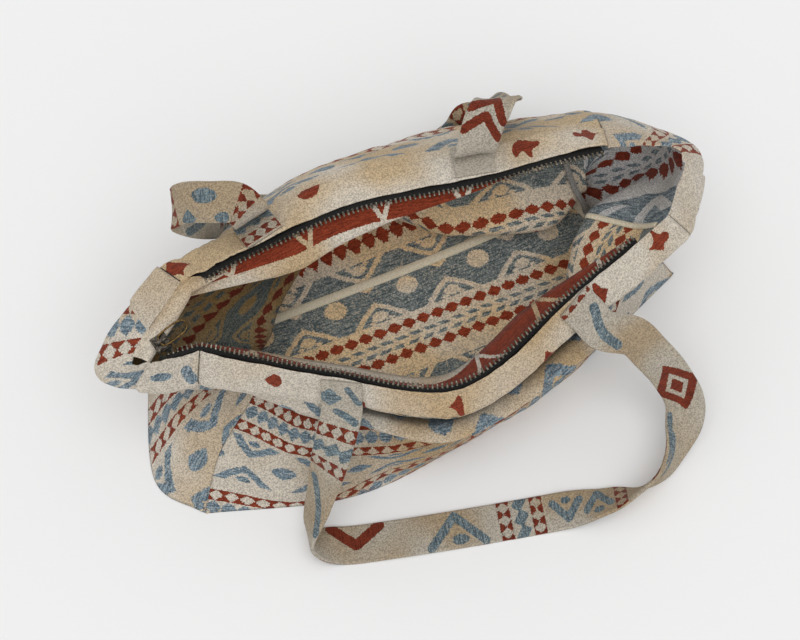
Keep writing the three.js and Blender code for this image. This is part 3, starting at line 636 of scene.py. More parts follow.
shapeKinds = {'oval': ovalShape, 'gem': gemShape, 'stroke': strokeShape, 'vee': veeShape, 'arrow': arrowShape,
              'ring': ringShape, 'bow': bowShape, 'chain': chainShape}


def drawFigures(a, b, table):
    fields = {tone: np.full(np.broadcast(a, b).shape, noMark) for tone in ('red', 'blue')}
    for tone, kind, *sizes in table:
        fields[tone] = np.maximum(fields[tone], shapeKinds[kind](a, b, *sizes))
    return fields


def sheetArea(piece):
    return sum(face.area for face in piece.data.polygons) / 2


# body panels: front and back run on under the bag to the middle seam
panelLook = {
    'columns': 210, 'baseRows': 36, 'wallRows': 112, 'endColumns': 96, 'endRows': 112,
    'bodyTrim': 0.0008, 'endTrim': 0.0024, 'rimAt': 0.363, 'lip': 0.8 * mm, 'seamGap': 0.4 * mm,
    'ripple': 1.1 * mm, 'rippleWaves': (0.14, 0.045, 14),  # longest and shortest wave, and how many
    'fineRipple': 0.35 * mm, 'fineWaves': (0.035, 0.012, 22),
    'edgeFade': 18 * mm, 'footFade': 6, 'seamDip': 1.2 * mm, 'seamSoft': 2.5 * mm,
    'hemStep': 1.3 * mm, 'hemRound': 1.4, 'groove': 2 * mm, 'grooveRound': 2.2, 'grooveFade': 8,
    'patchWaves': (0.016, 0.007, 12), 'patchSeed': 5, 'patchFray': 1.7,
    'baseInset': 0.0095, 'floorShare': 0.9, 'footRise': 0.5, 'footLift': 0.1 * mm,
    'endSoft': 9 * mm, 'endThin': 0.3 * mm, 'endGrow': 1.5 * mm, 'footThin': 0.2 * mm, 'footGrow': 0.45,
    'endFoot': 0.3 * mm, 'endLining': 0.15 * mm,
}
# the deep fold under the front hem: where it runs along the rim, and how deep it is; and the painted shade, a
# darkening of the cloth just under the hem edge
frontTuck = {
    'grooveAt': (0, 0.2, 0.3, 0.75, 1), 'groove': (2, 2, 8, 8, 2),
    'creaseAt': (0.24, 0.3, 0.8, 0.9), 'creaseTop': 0.582, 'creaseSoft': 0.017, 'creaseEnd': 0.86,
    'tuckAt': (0.2, 0.32, 0.68, 0.8), 'tuck': (0, 9, 9, 0), 'tuckLevel': 0.6, 'tuckSoft': 0.055,
}


def softStep(x):
    x = np.clip(x, 0, 1)
    return x * x * (3 - 2 * x)


def dressWall(outer, s, d, seed, strength, hem, groove, tuck=0.0):
    across = arcLengths(outer, 0)
    edge = np.minimum(across, across[-1:] - across)
    fade = np.clip(edge / panelLook['edgeFade'], 0, 1) ** 1.5
    normal = gridNormals(outer)
    lift = softRipple(s, d, *panelLook['rippleWaves'], seed) * panelLook['ripple'] * strength
    lift += softRipple(s, d, *panelLook['fineWaves'], seed + 1) * panelLook['fineRipple'] * strength
    dip = np.exp(-(edge / panelLook['seamSoft']) ** 2) * panelLook['seamDip']
    under, rounded = np.maximum(-hem, 0), panelLook['grooveRound']
    dip += softStep(under / rounded) * np.exp(-np.maximum(under - rounded, 0) / panelLook['grooveFade']) * groove
    dip += tuck - np.clip(hem / panelLook['hemRound'], 0, 1) * panelLook['hemStep']
    return outer + normal * (lift * fade - dip)[..., None]


# patches of the woven figures that show on the plain hems: along the cloth, then down from the rim
frontPatches = (
    ('red', 'gem', (-171, 12), (8, 8)), ('red', 'gem', (-102, 26), (9, 7)), ('red', 'gem', (-31, 13), (8, 7)),
    ('red', 'gem', (48, 25), (9, 7)), ('red', 'gem', (108, 12), (8, 8)), ('red', 'gem', (171, 11), (9, 9)),
)
backPatches = (
    ('red', 'gem', (-180, 14), (11, 10)), ('red', 'gem', (-120, 22), (8, 6)), ('red', 'gem', (-66, 24), (10, 9)),
    ('red', 'oval', (53, 13), (3, 2.4)), ('red', 'gem', (105, 15), (15, 8)), ('red', 'gem', (156, 17), (8, 9)),
)
leftPatches = (
    ('blue', 'stroke', (9, 12), (3, 24), 3.4),
    ('blue', 'oval', (14, 38), (8, 4)), ('blue', 'oval', (24, 16), (7, 4)),
)


# where the bands of the pattern lie on each panel, read off the photograph in millimetres:
# u runs along the rim, s along the cloth, d away from the base seam or up from the foot
def frontPattern(u, s, d, below, onWall):
    inside = d - 13.3 - 0.027 * s + 21 * softStep((u - 0.6) / 0.3) * softStep((d - 150) / 50)
    low = np.interp(u, (0, 0.118, 0.149, 0.234, 0.294, 0.361, 0.5, 1),
                    (150, 153.5, 156, 168.5, 180, 190, 192, 180))
    high = np.interp(u, (0, 0.13, 0.273, 0.38, 0.5, 0.65, 1), (217, 209, 212, 208, 205, 202, 198))
    outside = np.where(d < low, 158 - (low - d), 158 + 75 * (d - low) / (high - low))
    outside = np.where(d > high, 233 + (d - high) * 25 / 26, outside)
    outside = np.where(d > high + 26, 258 + (d - high - 26) * 72 / (307 - high), outside)
    hem = np.interp(u, (0, 0.2, 0.3, 0.75, 0.85, 1), (44, 40, 24, 24, 30, 30)) - below
    return (s + 169, outside), (s - 5.6, inside), hem, frontPatches


def backPattern(u, s, d, below, onWall):
    base = np.interp(d, (0, 19.7, 38, 80), (4.3, 24, 33, 60))
    wall = 58 + 1.1 * (d - 83 - 57.7 * (np.minimum(u, 0.45) - 0.108))
    return (s - 150, 0.72 * (below - 76)), (s - 5.6, np.where(onWall, wall, base)), 26 - below, backPatches


def leftPattern(u, s, d, below, onWall):
    ridge = 162 - 75 * u
    inside = np.where(d < ridge, 33 + (ridge - d) * 0.8, 33 - 75 * (d - ridge) / (200 - ridge))
    inside = np.where(d > 200, -42 - 0.385 * (d - 200), inside)
    hem = np.interp(u, (0, 0.12, 0.2, 0.6, 0.7, 1), (30, 30, -5, -5, 44, 44)) - below
    return (d - 40, 0.69 * (s - 22)), (1.6 * s, inside), hem, leftPatches


def rightPattern(u, s, d, below, onWall):
    inside = s + np.interp(d, (0, 8, 22, 35, 52, 69, 130), (26, 21, 13.5, 5, 1, -3.5, -4))
    inside = np.where(inside > 58, 58 + (inside - 58) * 0.45, inside)
    field = np.minimum(d - 91, s - 87)
    for start, end in (((108, 104), (128, 118)), ((93, 111), (128, 156)), ((93, 111), (106, 156))):
        field = np.minimum(field, -strokeShape(s, d, start, end, 3.4))
    hem = np.interp(u, (0, 0.3, 0.4, 1), (30, 30, -5, -5)) - below
    return (d, s), (0.8 * d, inside), hem, (), (inside - 74, field)


def mapPair(pattern, u, s, d, below, onWall):
    outside, inside, hem, patches, *more = pattern(u, s / mm, d / mm, below / mm, onWall)
    plainInside, blueInside = more[0] if more else (noMark, noMark)
    drawn = drawFigures(s / mm, below / mm, patches)
    frayed = softRipple(s, below, *panelLook['patchWaves'], panelLook['patchSeed']) * panelLook['patchFray']
    marks = {'hem': (hem, plainInside), 'drawnRed': (drawn['red'] + frayed, noMark),
             'drawnBlue': (drawn['blue'], blueInside)}
    return [np.stack(np.broadcast_arrays(*pair), axis=-1) * mm for pair in (outside, inside)], marks


def frontFold(u, t, baseRows):
    f, flat = frontTuck, np.zeros(baseRows)
    groove = np.interp(u, f['grooveAt'], f['groove'])[:, None] * mm
    # painted shade: how dark the cloth is painted below the hem edge, row by row, fading off along the rim
    shadedRows = np.exp(-(np.maximum(f['creaseTop'] - t, 0) / f['creaseSoft']) ** 2) * (t < f['creaseEnd'])
    crease = np.interp(u, f['creaseAt'], (0, 1, 1, 0))[:, None] * np.concatenate([flat, shadedRows])[None]
    tuckedRows = np.concatenate([flat, np.exp(-((t - f['tuckLevel']) / f['tuckSoft']) ** 2)])
    return groove, crease, np.interp(u, f['tuckAt'], f['tuck'])[:, None] * tuckedRows[None] * mm


def bodyPanel(name, panel, firstSide, lastSide, toFront, pattern, finishes, seed):
    u = np.linspace(panelLook['bodyTrim'], 1 - panelLook['bodyTrim'], panelLook['columns'])
    w = np.linspace(0, 1, panelLook['baseRows'], endpoint=False)
    t = np.linspace(0, 1, panelLook['wallRows'])
    sign = -1 if toFront else 1
    inset = np.clip(u, panelLook['baseInset'], 1 - panelLook['baseInset'])
    base = bottomGrid(panel, inset, w, firstSide, lastSide)
    base[:, 0, 1] += panelLook['seamGap'] * sign
    wall = wallGrid(panel, u, t)
    rise = arcLengths(wall, 1)
    share = rise / rise[:, -1:]
    seamY = base[len(u) // 2, 0, 1]
    baseD = (base[..., 1] - seamY) * sign
    footD = ((wall[:, 0, 1] - seamY) * sign)[:, None]
    wallD = footD + share * (panelLook['rimAt'] - footD) if toFront else footD + rise
    rimRun = arcLengths(wall[:, -1:], 0)
    rimS = rimRun - rimRun[len(u) // 2]
    rimS = (rimS if toFront else -rimS) + wall[len(u) // 2, 0, 0]
    wallS = wall[:, :1, 0] * (1 - share) + rimS * share
    s = np.concatenate([base[..., 0], wallS], axis=1)
    d = np.concatenate([baseD, wallD], axis=1)
    below = rise[:, -1:] - np.concatenate([baseD - footD, rise], axis=1)
    onWall = np.arange(d.shape[1])[None, :] >= panelLook['baseRows']
    steady = np.concatenate([np.zeros(base.shape[:2]), np.clip(share * panelLook['footFade'], 0, 1)], axis=1)
    maps, marks = mapPair(pattern, u[:, None], s, d, below, onWall)
    groove, tuck = panelLook['groove'], 0.0
    if toFront:
        # the front panel's fold also gives a painted shade mask under the hem edge, carried to the finish as a
        # point attribute
        groove, crease, tuck = frontFold(u, t, len(w))
        marks['crease'] = (crease, 0.0)
    outer = dressWall(np.concatenate([base, wall], axis=1), s, d, seed, steady, marks['hem'][0], groove, tuck)
    inner = outer - gridNormals(outer) * bagShape['clothThick']
    floorTop = bagShape['clothThick'] * panelLook['floorShare']
    footTop = outer[..., 2] * panelLook['footRise'] + panelLook['footLift']
    inner[..., 2] = np.maximum(inner[..., 2], np.minimum(floorTop, footTop))
    # the lining thins out to the seams at both ends and along the foot
    fromEnd = softStep(np.minimum(u, 1 - u)[:, None] * bagShape['halfLength'] * 2 / panelLook['endSoft'])
    thinned = np.minimum(panelLook['endThin'] + panelLook['endGrow'] * fromEnd,
                         panelLook['footThin'] + panelLook['footGrow'] * (footD - baseD))
    inner[:, :len(w), 2] = np.minimum(floorTop, thinned)
    return sheetMesh(name, outer, inner, *maps, finishes, lip=panelLook['lip'], marks=marks)


def endPanel(name, panel, pattern, finishes, seed):
    u = np.linspace(panelLook['endTrim'], 1 - panelLook['endTrim'], panelLook['endColumns'])
    t = np.linspace(0, 1, panelLook['endRows'])
    wall = wallGrid(panel, u, t)
    rise = arcLengths(wall, 1)
    share = rise / rise[:, -1:]
    footRun, rimRun = arcLengths(wall[:, :1], 0), arcLengths(wall[:, -1:], 0)
    s = footRun[-1] - footRun
    s = s * (1 - share) + (rimRun[-1] - rimRun) * share
    maps, marks = mapPair(pattern, u[:, None], s, rise, rise[:, -1:] - rise, True)
    steady = np.clip(share * panelLook['footFade'], 0, 1)
    outer = dressWall(wall, s, rise, seed, steady, marks['hem'][0], panelLook['groove'])
    inner = outer - gridNormals(outer) * bagShape['clothThick']
    outer[..., 2] = np.maximum(outer[..., 2], panelLook['endFoot'])
    inner[..., 2] = np.maximum(inner[..., 2], panelLook['endLining'])
    return sheetMesh(name, outer, inner, *maps, finishes, lip=panelLook['lip'], marks=marks)


frontOutside = wovenFinish('frontClothOutside', coolRun=(30, 140, -0.6))
backOutside = wovenFinish('backClothOutside', cool=-0.1, warmTone='#bda684', coolTone='#cfc8bc')
endOutside = wovenFinish('endClothOutside', cool=0.4)
# the inside of the front and back panels is a much lighter copy of the cloth's reverse: painted light, so the
# bag's interior looks lit
baseInsideLit = wovenFinish('baseClothInsideLit', turned=1.0, cool=-0.2, warmTone='#f0d3a8', coolTone='#eadfce',
                         redTone='#a8492c', blueTone='#939d9c', blueDeep='#5d6b6f')
# the inside of the left end is a darker copy of the cloth's reverse: painted shade for the shadowed left pocket
leftInsideShaded = wovenFinish('leftClothInsideShaded', turned=1.0, cool=-0.4, warmTone='#846b45', coolTone='#8b7c60',
                         redTone='#682a18', blueTone='#646b66', blueDeep='#3e4848')
# the inside of the right end is a lighter, cooler copy of the cloth's reverse: painted light for the lit right
# corner
rightInsideLit = wovenFinish('rightClothInsideLit', turned=1.0, cool=0.6, warmTone='#cdc6ba', coolTone='#d8d8d8',
                          redTone='#93402a', blueTone='#95a2a7', blueDeep='#5c6c75')

frontPanel = bodyPanel('frontPanelCloth', frontCloth, 'leftToFront', 'rightToFront', True, frontPattern,
                       (frontOutside, baseInsideLit), 11)
backPanel = bodyPanel('backPanelCloth', backCloth, 'rightToBack', 'leftToBack', False, backPattern,
                      (backOutside, baseInsideLit), 23)
leftPanel = endPanel('leftEndCloth', leftCloth, leftPattern, (endOutside, leftInsideShaded), 37)
rightPanel = endPanel('rightEndCloth', rightCloth, rightPattern, (endOutside, rightInsideLit), 41)
for piece, node in ((frontPanel, 'front_panel'), (backPanel, 'back_panel'),
                    (leftPanel, 'left_end_panel'), (rightPanel, 'right_end_panel')):
    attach(piece, 'bag')
    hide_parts(node)
    print('stage: cloth', piece.name, len(piece.data.polygons), 'faces, area', round(sheetArea(piece), 4))


# rim frame: where the zip, the facings and the handles hang
def rimPlace(place):
    for panel in panelOrder:
        step = (place - panel['first'] + stationCount * 2) % stationCount
        if step <= panel['span']:
            return panel, step / panel['span']
    return panelOrder[0], 0.0


def rimSpot(place, t=1.0):
    panel, u = rimPlace(place)
    return wallGrid(panel, u, t)[0, 0]


def rimFrame(place):
    spot = rimSpot(place)
    along = unit(rimSpot(place + 0.02) - rimSpot(place - 0.02))
    onward = spot - rimSpot(place, 0.97)
    onward = unit(onward - along * np.dot(onward, along))
    return {'spot': spot, 'along': along, 'onward': onward, 'out': np.cross(along, onward),
            'inward': unit(np.array((-along[1], along[0], 0)))}


# zip: tape, teeth and the metal that the slider and pull share
zipSizes = {
    'tape': 1.2 * mm, 'reach': 8 * mm, 'slim': 5 * mm, 'frontReach': 3.2 * mm, 'dip': 1.8,
    'tuck': 5 * mm, 'gap': 0.7 * mm, 'pitch': 3.8 * mm,
    'toothLong': 1.9 * mm, 'toothReach': 2.4 * mm, 'toothThick': 2.4 * mm, 'toothBevel': 0.45 * mm,
    'headLong': 0.82, 'headThick': 0.85, 'beadWide': 2 * mm,
    'levelling': 70 * mm, 'lean': 0.2, 'leanMore': 3, 'widening': 1.6, 'steps': 300,
    'frontStart': stationCount + 1.3, 'frontEnd': stationCount + 5.68,
    'backStart': 8.1, 'backEnd': stationCount - 0.42,
    'rib': 1.1, 'weft': 0.9, 'dust': 0.7, 'dustRange': (0.35, 0.75),
}


def tapeCross(place):
    f = rimFrame(place)
    sunk = bagShape['clothThick'] + zipSizes['gap'] + zipSizes['tape'] / 2
    top = f['spot'] - f['out'] * sunk
    low = top - f['onward'] * zipSizes['tuck']
    fromTip = np.linalg.norm(f['spot'] - placedStations[0]['rim'])
    near = min(max(1 - fromTip / zipSizes['levelling'], 0), 1)
    lean = f['onward'] + f['inward'] * (zipSizes['lean'] + zipSizes['leanMore'] * near)
    lean[2] *= 1 - near
    atFront = place % stationCount < stationAt('rightTip')
    if atFront:
        lean[2] -= zipSizes['dip'] * near
    lean = unit(lean - f['along'] * np.dot(lean, f['along']))
    atSlider = min(max(zipSizes['widening'] - fromTip / zipSizes['levelling'], 0), 1)
    reach = zipSizes['slim'] + (zipSizes['reach'] - zipSizes['slim']) * atSlider
    if atFront:
        reach = zipSizes['frontReach']
    return {'low': low, 'top': top, 'free': top + lean * reach, 'lean': lean, 'along': f['along'],
            'out': f['out'], 'leanOut': np.cross(f['along'], lean)}


def flatStrip(name, middle, face, thick, maps, finish):
    outer = middle + face * thick / 2
    inner = middle - face * thick / 2
    return sheetMesh(name, outer, inner, maps, maps, (finish, finish), lip=thick * 0.3)


def threadWave(tree, value, pitch):
    return calc(tree, 'SINE', calc(tree, 'MULTIPLY', value, 2 * math.pi / pitch))


def zipTapeFinish(z):
    material, tree, shader = newMaterial('zipTapeBlack', 0.8, specular=0.3)
    along, across = uvInMillimetres(tree)
    rib, weft = threadWave(tree, across, z['rib']), threadWave(tree, along, z['weft'])
    dust = ramped(tree, grainNoise(tree, along, across, 0.0, z['dust']), *z['dustRange'])
    tree.links.new(blendColour(tree, dust, tint('#121212'), tint('#2b2a29')), shader.inputs['Base Color'])
    addBump(tree, shader, calc(tree, 'ADD', rib, calc(tree, 'MULTIPLY', weft, 0.6)), 0.4, 0.0003)
    return material


metalLook = {'rub': 0.55, 'rubRange': (0.35, 0.7), 'scratch': 1.5, 'scratchLong': 0.2, 'scratchFine': 3.0,
             'roughSpan': 0.3, 'roughBelow': 0.15}


def metalFinish(name, dark, light, roughness):
    material, tree, shader = newMaterial(name, roughness, metallic=1.0)
    place = tree.nodes.new('ShaderNodeTexCoord')
    x, y, z = (calc(tree, 'MULTIPLY', part, 1000.0) for part in splitParts(tree, place.outputs['Object']))
    worn = ramped(tree, grainNoise(tree, x, y, z, metalLook['rub'], 4.0), *metalLook['rubRange'])
    scratch = grainNoise(tree, calc(tree, 'MULTIPLY', x, metalLook['scratchLong']), y,
                         calc(tree, 'MULTIPLY', z, metalLook['scratchFine']), metalLook['scratch'], 2.0)
    tree.links.new(blendColour(tree, worn, tint(dark), tint(light)), shader.inputs['Base Color'])
    rough = calc(tree, 'MULTIPLY_ADD', scratch, metalLook['roughSpan'], roughness - metalLook['roughBelow'])
    tree.links.new(rough, shader.inputs['Roughness'])
    addBump(tree, shader, scratch, 0.15, 0.0001)
    return material


zipTape = zipTapeFinish(zipSizes)
toothMetal = metalFinish('zipToothMetal', '#5d574d', '#a9a192', 0.42)
sliderMetal = metalFinish('sliderDarkMetal', '#25221f', '#6a635a', 0.42)
pullBrass = metalFinish('pullBrass', '#4a3820', '#8c7044', 0.4)


def toothShape():
    bpy.ops.object.select_all(action='DESELECT')
    bpy.ops.mesh.primitive_cube_add(size=1, location=(0, 0, 0))
    tooth = bpy.context.object
    tooth.scale = (zipSizes['toothLong'], zipSizes['toothReach'] + zipSizes['beadWide'], zipSizes['toothThick'])
    bpy.ops.object.transform_apply(location=False, rotation=False, scale=True)
    bpy.ops.object.mode_set(mode='EDIT')
    bpy.ops.mesh.bevel(offset=zipSizes['toothBevel'], segments=1)
    bpy.ops.object.mode_set(mode='OBJECT')
    for vertex in tooth.data.vertices:  # the head is a little slimmer than the root
        if vertex.co.y > 0:
            vertex.co.x *= zipSizes['headLong']
            vertex.co.z *= zipSizes['headThick']
    spots = np.array([v.co for v in tooth.data.vertices])
    faces = [tuple(p.vertices) for p in tooth.data.polygons]
    bpy.data.objects.remove(tooth, do_unlink=True)
    return spots, faces


def meshPiece(name, spots, faces, finish, smooth=True):
    mesh = bpy.data.meshes.new(name)
    mesh.from_pydata(np.asarray(spots).tolist(), [], faces)
    mesh.materials.append(finish)
    mesh.polygons.foreach_set('use_smooth', np.full(len(faces), smooth))
    mesh.update()
    piece = bpy.data.objects.new(name, mesh)
    bpy.context.scene.collection.objects.link(piece)
    return piece


tooth = toothShape()


def zipChain(tag, start, end, node):
    places = np.linspace(start, end, zipSizes['steps'])
    crosses = [tapeCross(p) for p in places]
    rows = np.array([(c['low'], c['top'], c['top'] + (c['free'] - c['top']) * 0.5, c['free']) for c in crosses])
    face = np.array([(c['out'], c['out'], c['leanOut'], c['leanOut']) for c in crosses])
    run = arcLengths(rows[:, -1:], 0)
    maps = np.stack([np.repeat(run, 4, axis=1), np.tile(np.array([0, 5, 9, 13]) * mm, (len(places), 1))], axis=-1)
    tape = flatStrip('zipTape' + tag, rows, face, zipSizes['tape'] * 0.8, maps, zipTape)
    count = int(round(run[-1, 0] / zipSizes['pitch']))
    spots, faces = tooth
    allSpots, allFaces = [], []
    for k in range(count):
        place = np.interp((k + 0.5) / count * run[-1, 0], run[:, 0], places)
        c = tapeCross(place)
        turn = np.stack([c['along'], c['lean'], c['leanOut']])
        middle = c['free'] + c['lean'] * zipSizes['toothReach'] * 0.5
        allFaces += [tuple(v + len(allSpots) * len(spots) for v in f) for f in faces]
        allSpots.append(spots @ turn + middle)
    teeth = meshPiece('zipTeeth' + tag, np.concatenate(allSpots), allFaces, toothMetal, smooth=False)
    for piece in (tape, teeth):
        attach(piece, 'bag')
    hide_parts(node)
    print('stage: zip', tag, count, 'teeth')


zipChain('Front', zipSizes['frontStart'], zipSizes['frontEnd'], 'zip_chain_front')
zipChain('Back', zipSizes['backStart'], zipSizes['backEnd'], 'zip_chain_back')

# facings: the turned-in hem under the zip, a red woven stripe above plain cream
facingSizes = {
    'width': 31 * mm, 'thick': 1.4 * mm, 'taper': 130 * mm, 'taperEnd': 0.2, 'steps': 260,
    'frontStart': stationCount + 1.7, 'backEnd': stationCount - 0.8,
    'flatMost': 0.9, 'hangIn': (0.15, 0.65), 'hangDown': (-0.9, 0.4), 'curl': 0.25,
    'slimRun': (60, 90, 140, 175, 195, 280), 'slimShare': (0.1, 0.16, 0.42, 0.6, 0.72, 1),
    'rollStart': 12.55, 'rollEnd': 13.95, 'rollGrow': 0.4, 'rollLeast': 0.05, 'rollSteps': 110, 'rollAcross': 21,
    'stripe': 17.0, 'notchPitch': 65.0, 'notchAt': 14.0, 'notchLean': 0.46, 'notchArm': 2.1,
    'fray': 1.4, 'frayGrain': 0.7, 'redPlace': (17.8, 18.3), 'redShift': (0, 14), 'creamFrom': 40 * mm,
}


def facingFinish(z):
    material, tree, shader = newMaterial('facingStripe', **clothShine)
    along, across = uvInMillimetres(tree)
    fray = grainNoise(tree, along, across, 3.0, z['frayGrain'])
    sway = calc(tree, 'MULTIPLY_ADD', fray, z['fray'] * 2, -z['fray'])
    down = calc(tree, 'ADD', across, sway)
    half = z['notchPitch'] / 2
    onward = calc(tree, 'ADD', along, calc(tree, 'ADD', sway, z['notchAt']))
    off = calc(tree, 'ABSOLUTE', calc(tree, 'WRAP', onward, half, -half))
    lean = calc(tree, 'MULTIPLY', calc(tree, 'SUBTRACT', z['stripe'], down), z['notchLean'])
    arm = calc(tree, 'ABSOLUTE', calc(tree, 'SUBTRACT', off, lean))
    stripe = calc(tree, 'LESS_THAN', down, z['stripe'])
    red = calc(tree, 'MULTIPLY', stripe, calc(tree, 'GREATER_THAN', arm, z['notchArm']))
    yarn = useGroup(tree, yarnGroup, along=along, across=across, place=placeInMillimetres(tree),
                    red=red, blue=0.0, cool=0.0)
    tree.links.new(yarn['tone'], shader.inputs['Base Color'])
    addBump(tree, shader, yarn['height'], 0.5, 0.0008)
    return material


facingCloth = facingFinish(facingSizes)


def facingStrip(name, start, end, node, slimStart):
    z = facingSizes
    startSpot, endSpot = rimSpot(start), rimSpot(end)
    sunk = bagShape['clothThick'] + zipSizes['gap'] * 2 + zipSizes['tape'] + z['thick'] / 2
    rows, faces, maps = [], [], []
    run, before = 0.0, None
    for place in np.linspace(start, end, z['steps']):
        f = rimFrame(place)
        top = f['spot'] - f['out'] * sunk
        flat = min(max(f['out'][2], 0), z['flatMost'])
        hang = f['inward'] * (z['hangIn'][0] + flat * z['hangIn'][1])
        hang[2] = z['hangDown'][0] + flat * z['hangDown'][1]
        hang = unit(hang - f['along'] * np.dot(hang, f['along']))
        face = np.cross(f['along'], hang)
        fromStart, fromEnd = (np.linalg.norm(f['spot'] - spot) for spot in (startSpot, endSpot))
        wide = z['width'] * min(1, z['taperEnd'] + min(fromStart, fromEnd) / z['taper'])
        spread = wide
        if slimStart:  # the back facing narrows to the right; at the left its red stripe narrows with it
            wide *= np.interp(fromStart / mm, z['slimRun'], z['slimShare'])
            spread = wide / min(1, z['taperEnd'] + fromEnd / z['taper'])
        curl = unit(hang + face * z['curl'])
        row = [top, top + hang * wide * 0.25, top + hang * wide * 0.5]
        row += [row[-1] + curl * wide * 0.25, row[-1] + curl * wide * 0.5]
        run += 0 if before is None else np.linalg.norm(top - before)
        before = top
        rows.append(row)
        faces.append([face] * 5)
        redShift = np.interp(place, z['redPlace'], z['redShift']) * mm
        maps.append([(run, spread * k / 4 - redShift) for k in range(5)])
    piece = flatStrip(name, np.array(rows), np.array(faces), z['thick'], np.array(maps), facingCloth)
    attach(piece, 'bag')
    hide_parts(node)
    print('stage: facing', name, 'area', round(sheetArea(piece), 4), 'run', round(run, 3))
    return piece


frontFacing = facingStrip('facingFront', facingSizes['frontStart'], zipSizes['frontEnd'],
                          'zip_facing_front', False)
backFacing = facingStrip('facingBack', zipSizes['backStart'], facingSizes['backEnd'],
                         'zip_facing_back', True)


# the back facing's left end, rolled over the zip: its section runs from the rim to under the teeth
def facingRoll(z):
    up = np.array((0, 0, 1.0))
    rows = []
    for place in np.linspace(z['rollStart'], z['rollEnd'], z['rollSteps']):
        f, c = rimFrame(place), tapeCross(place)
        grown = z['rollLeast'] + (1 - z['rollLeast']) * softStep((place - z['rollStart']) / z['rollGrow'])
        tape = c['free'] - c['top']
        low = c['free'] + c['lean'] * 2 * mm - up * 5 * mm
        over = [f['spot'] - f['out'] * 0.8 * mm - f['onward'] * 0.6 * mm,
                c['top'] + tape * 0.15 + up * 2.4 * mm, c['top'] + tape * 0.65 + up * 3.4 * mm,
                c['free'] + c['lean'] * 3 * mm + up * 2 * mm,
                c['free'] + c['lean'] * 4.6 * mm - up * 1.6 * mm, low]
        section = np.array([low + (spot - low) * grown for spot in over])
        rows.append(smoothPath(section, np.linspace(0, 1, z['rollAcross'])))
    rows = np.array(rows)
    run, down = arcLengths(rows[:, :1], 0), arcLengths(rows, 1)
    maps = np.stack([np.broadcast_to(run, down.shape), down + z['creamFrom']], axis=-1)
    face = gridNormals(rows)
    face *= np.sign(face[:, z['rollAcross'] // 2, 2].mean()) * z['thick'] / 2
    piece = sheetMesh('facingRollBack', rows + face, rows - face, maps, maps, (facingCloth, facingCloth))
    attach(piece, 'bag')
    return piece


backRoll = facingRoll(facingSizes)

# handles: woven straps sewn to the hem band at both ends
strapSizes = {
    'width': 32 * mm, 'thick': 3.6 * mm, 'steps': 430, 'fineSteps': 4000, 'across': 25,
    'lift': 25 * mm, 'gap': 0.4 * mm, 'sewnLevels': (1, 0.93, 0.86), 'twistPull': 0.3,
    'edgeSoft': 0.08, 'edgeLeast': 0.12, 'stitchDip': 0.16, 'stitchIn': 3 * mm, 'stitchWide': 0.9 * mm,
}
onFloor = 1.8 / 165  # half the strap's thickness, as a share of the rim's height
# each row: place along, across and up as shares of the bag's sizes, then the way the strap's width points
frontFree = (
    (-0.56, -1.32, 0.515, 0.6, -0.79, 0.1), (-0.645, -1.455, 0.25, 0.2, -0.92, 0.33),
    (-0.715, -1.617, 0.075, -0.21, -0.82, 0.5), (-0.63, -1.7, onFloor, -0.25, -0.96, 0),
    (-0.41, -1.83, onFloor, -0.25, -0.97, 0), (0.16, -2.1, onFloor, -0.25, -0.97, 0),
    (0.34, -2.19, 0.06, -0.22, -0.8, 0.56), (0.47, -2.22, 0.1, -0.12, -0.3, 0.95),
    (0.6, -2.13, 0.115, -0.35, 0.1, 0.93), (0.72, -1.86, 0.24, -0.914, 0.407, 0),
    (0.7, -1.69, 0.375, -0.95, 0.3, 0), (0.635, -1.53, 0.545, -0.85, -0.15, -0.2),
    (0.585, -1.44, 0.655, -0.74, -0.5, -0.4),
)
frontEndSlant = np.array(((0, 0, 0), (4, 0, 0), (9, -2, -1))) * mm
backFree = (
    (-0.515, 0.19, 1.05, 0.95, 0.2, 0.1), (-0.55, 0.26, 1.13, 0.7, 0.6, 0.3),
    (-0.63, 0.32, 1.15, 0.35, 0.83, 0.42),
    (-0.71, 0.43, 1.09, 0.3, 0.8, 0.5), (-0.745, 0.48, 1, 0.3, 0.8, 0.5), (-0.7, 0.46, 0.9, 0.25, 0.7, 0.65),
    (-0.6, 0.54, 0.66, 0.1, 0.5, 0.85), (-0.49, 0.76, 0.34, 0, 0.15, 0.97), (-0.3, 0.83, 0.12, 0, 0.1, 0.98),
    (0, 0.84, 0.105, 0, 0.05, 0.99), (0.3, 0.84, 0.105, 0, 0.05, 0.99), (0.47, 0.83, 0.2, 0.35, 0.1, 0.9),
    (0.54, 0.76, 0.42, 0.8, 0.05, 0.5), (0.53, 0.55, 0.66, 0.95, 0, 0.25), (0.5, 0.38, 0.9, 0.95, -0.1, 0.2),
    (0.475, 0.27, 1.08, 0.9, -0.25, 0.2), (0.43, 0.2, 1.21, 0.85, -0.4, 0.2), (0.37, 0.12, 1.2, 0.9, -0.35, 0),
    (0.3, 0, 1.08, 0.97, -0.2, 0),
)


def bandEnd(place, sign):
    panel, u = rimPlace(place)
    rimLine = smoothPath(panel['rim'], np.linspace(0, 1, 201), edgePull)
    reach = strapSizes['width'] / np.sum(np.linalg.norm(np.diff(rimLine, axis=0), axis=1)) / 2
    step = 0.004
    found = []
    for t in strapSizes['sewnLevels']:
        sides = wallGrid(panel, np.array((u - step, u + step)), t)[:, 0]
        levels = wallGrid(panel, u, np.array((max(t - step, 0), min(t + step, 1))))[0]
        out = unit(np.cross(sides[1] - sides[0], levels[1] - levels[0]))
        sideA, sideB = wallGrid(panel, np.array((u - reach, u + reach)), t)[:, 0]
        across = unit(sideB - sideA)
        out = unit(out - across * np.dot(out, across))
        bulge = (wallGrid(panel, np.linspace(u - reach, u + reach, 13), t)[:, 0] - sideA) @ out
        stand = bulge.max() + strapSizes['gap'] * 2 + strapSizes['thick'] / 2 + strapSizes['lift'] * (1 - t)
        found.append(((sideA + sideB) / 2 + out * stand, across * sign))
    return found


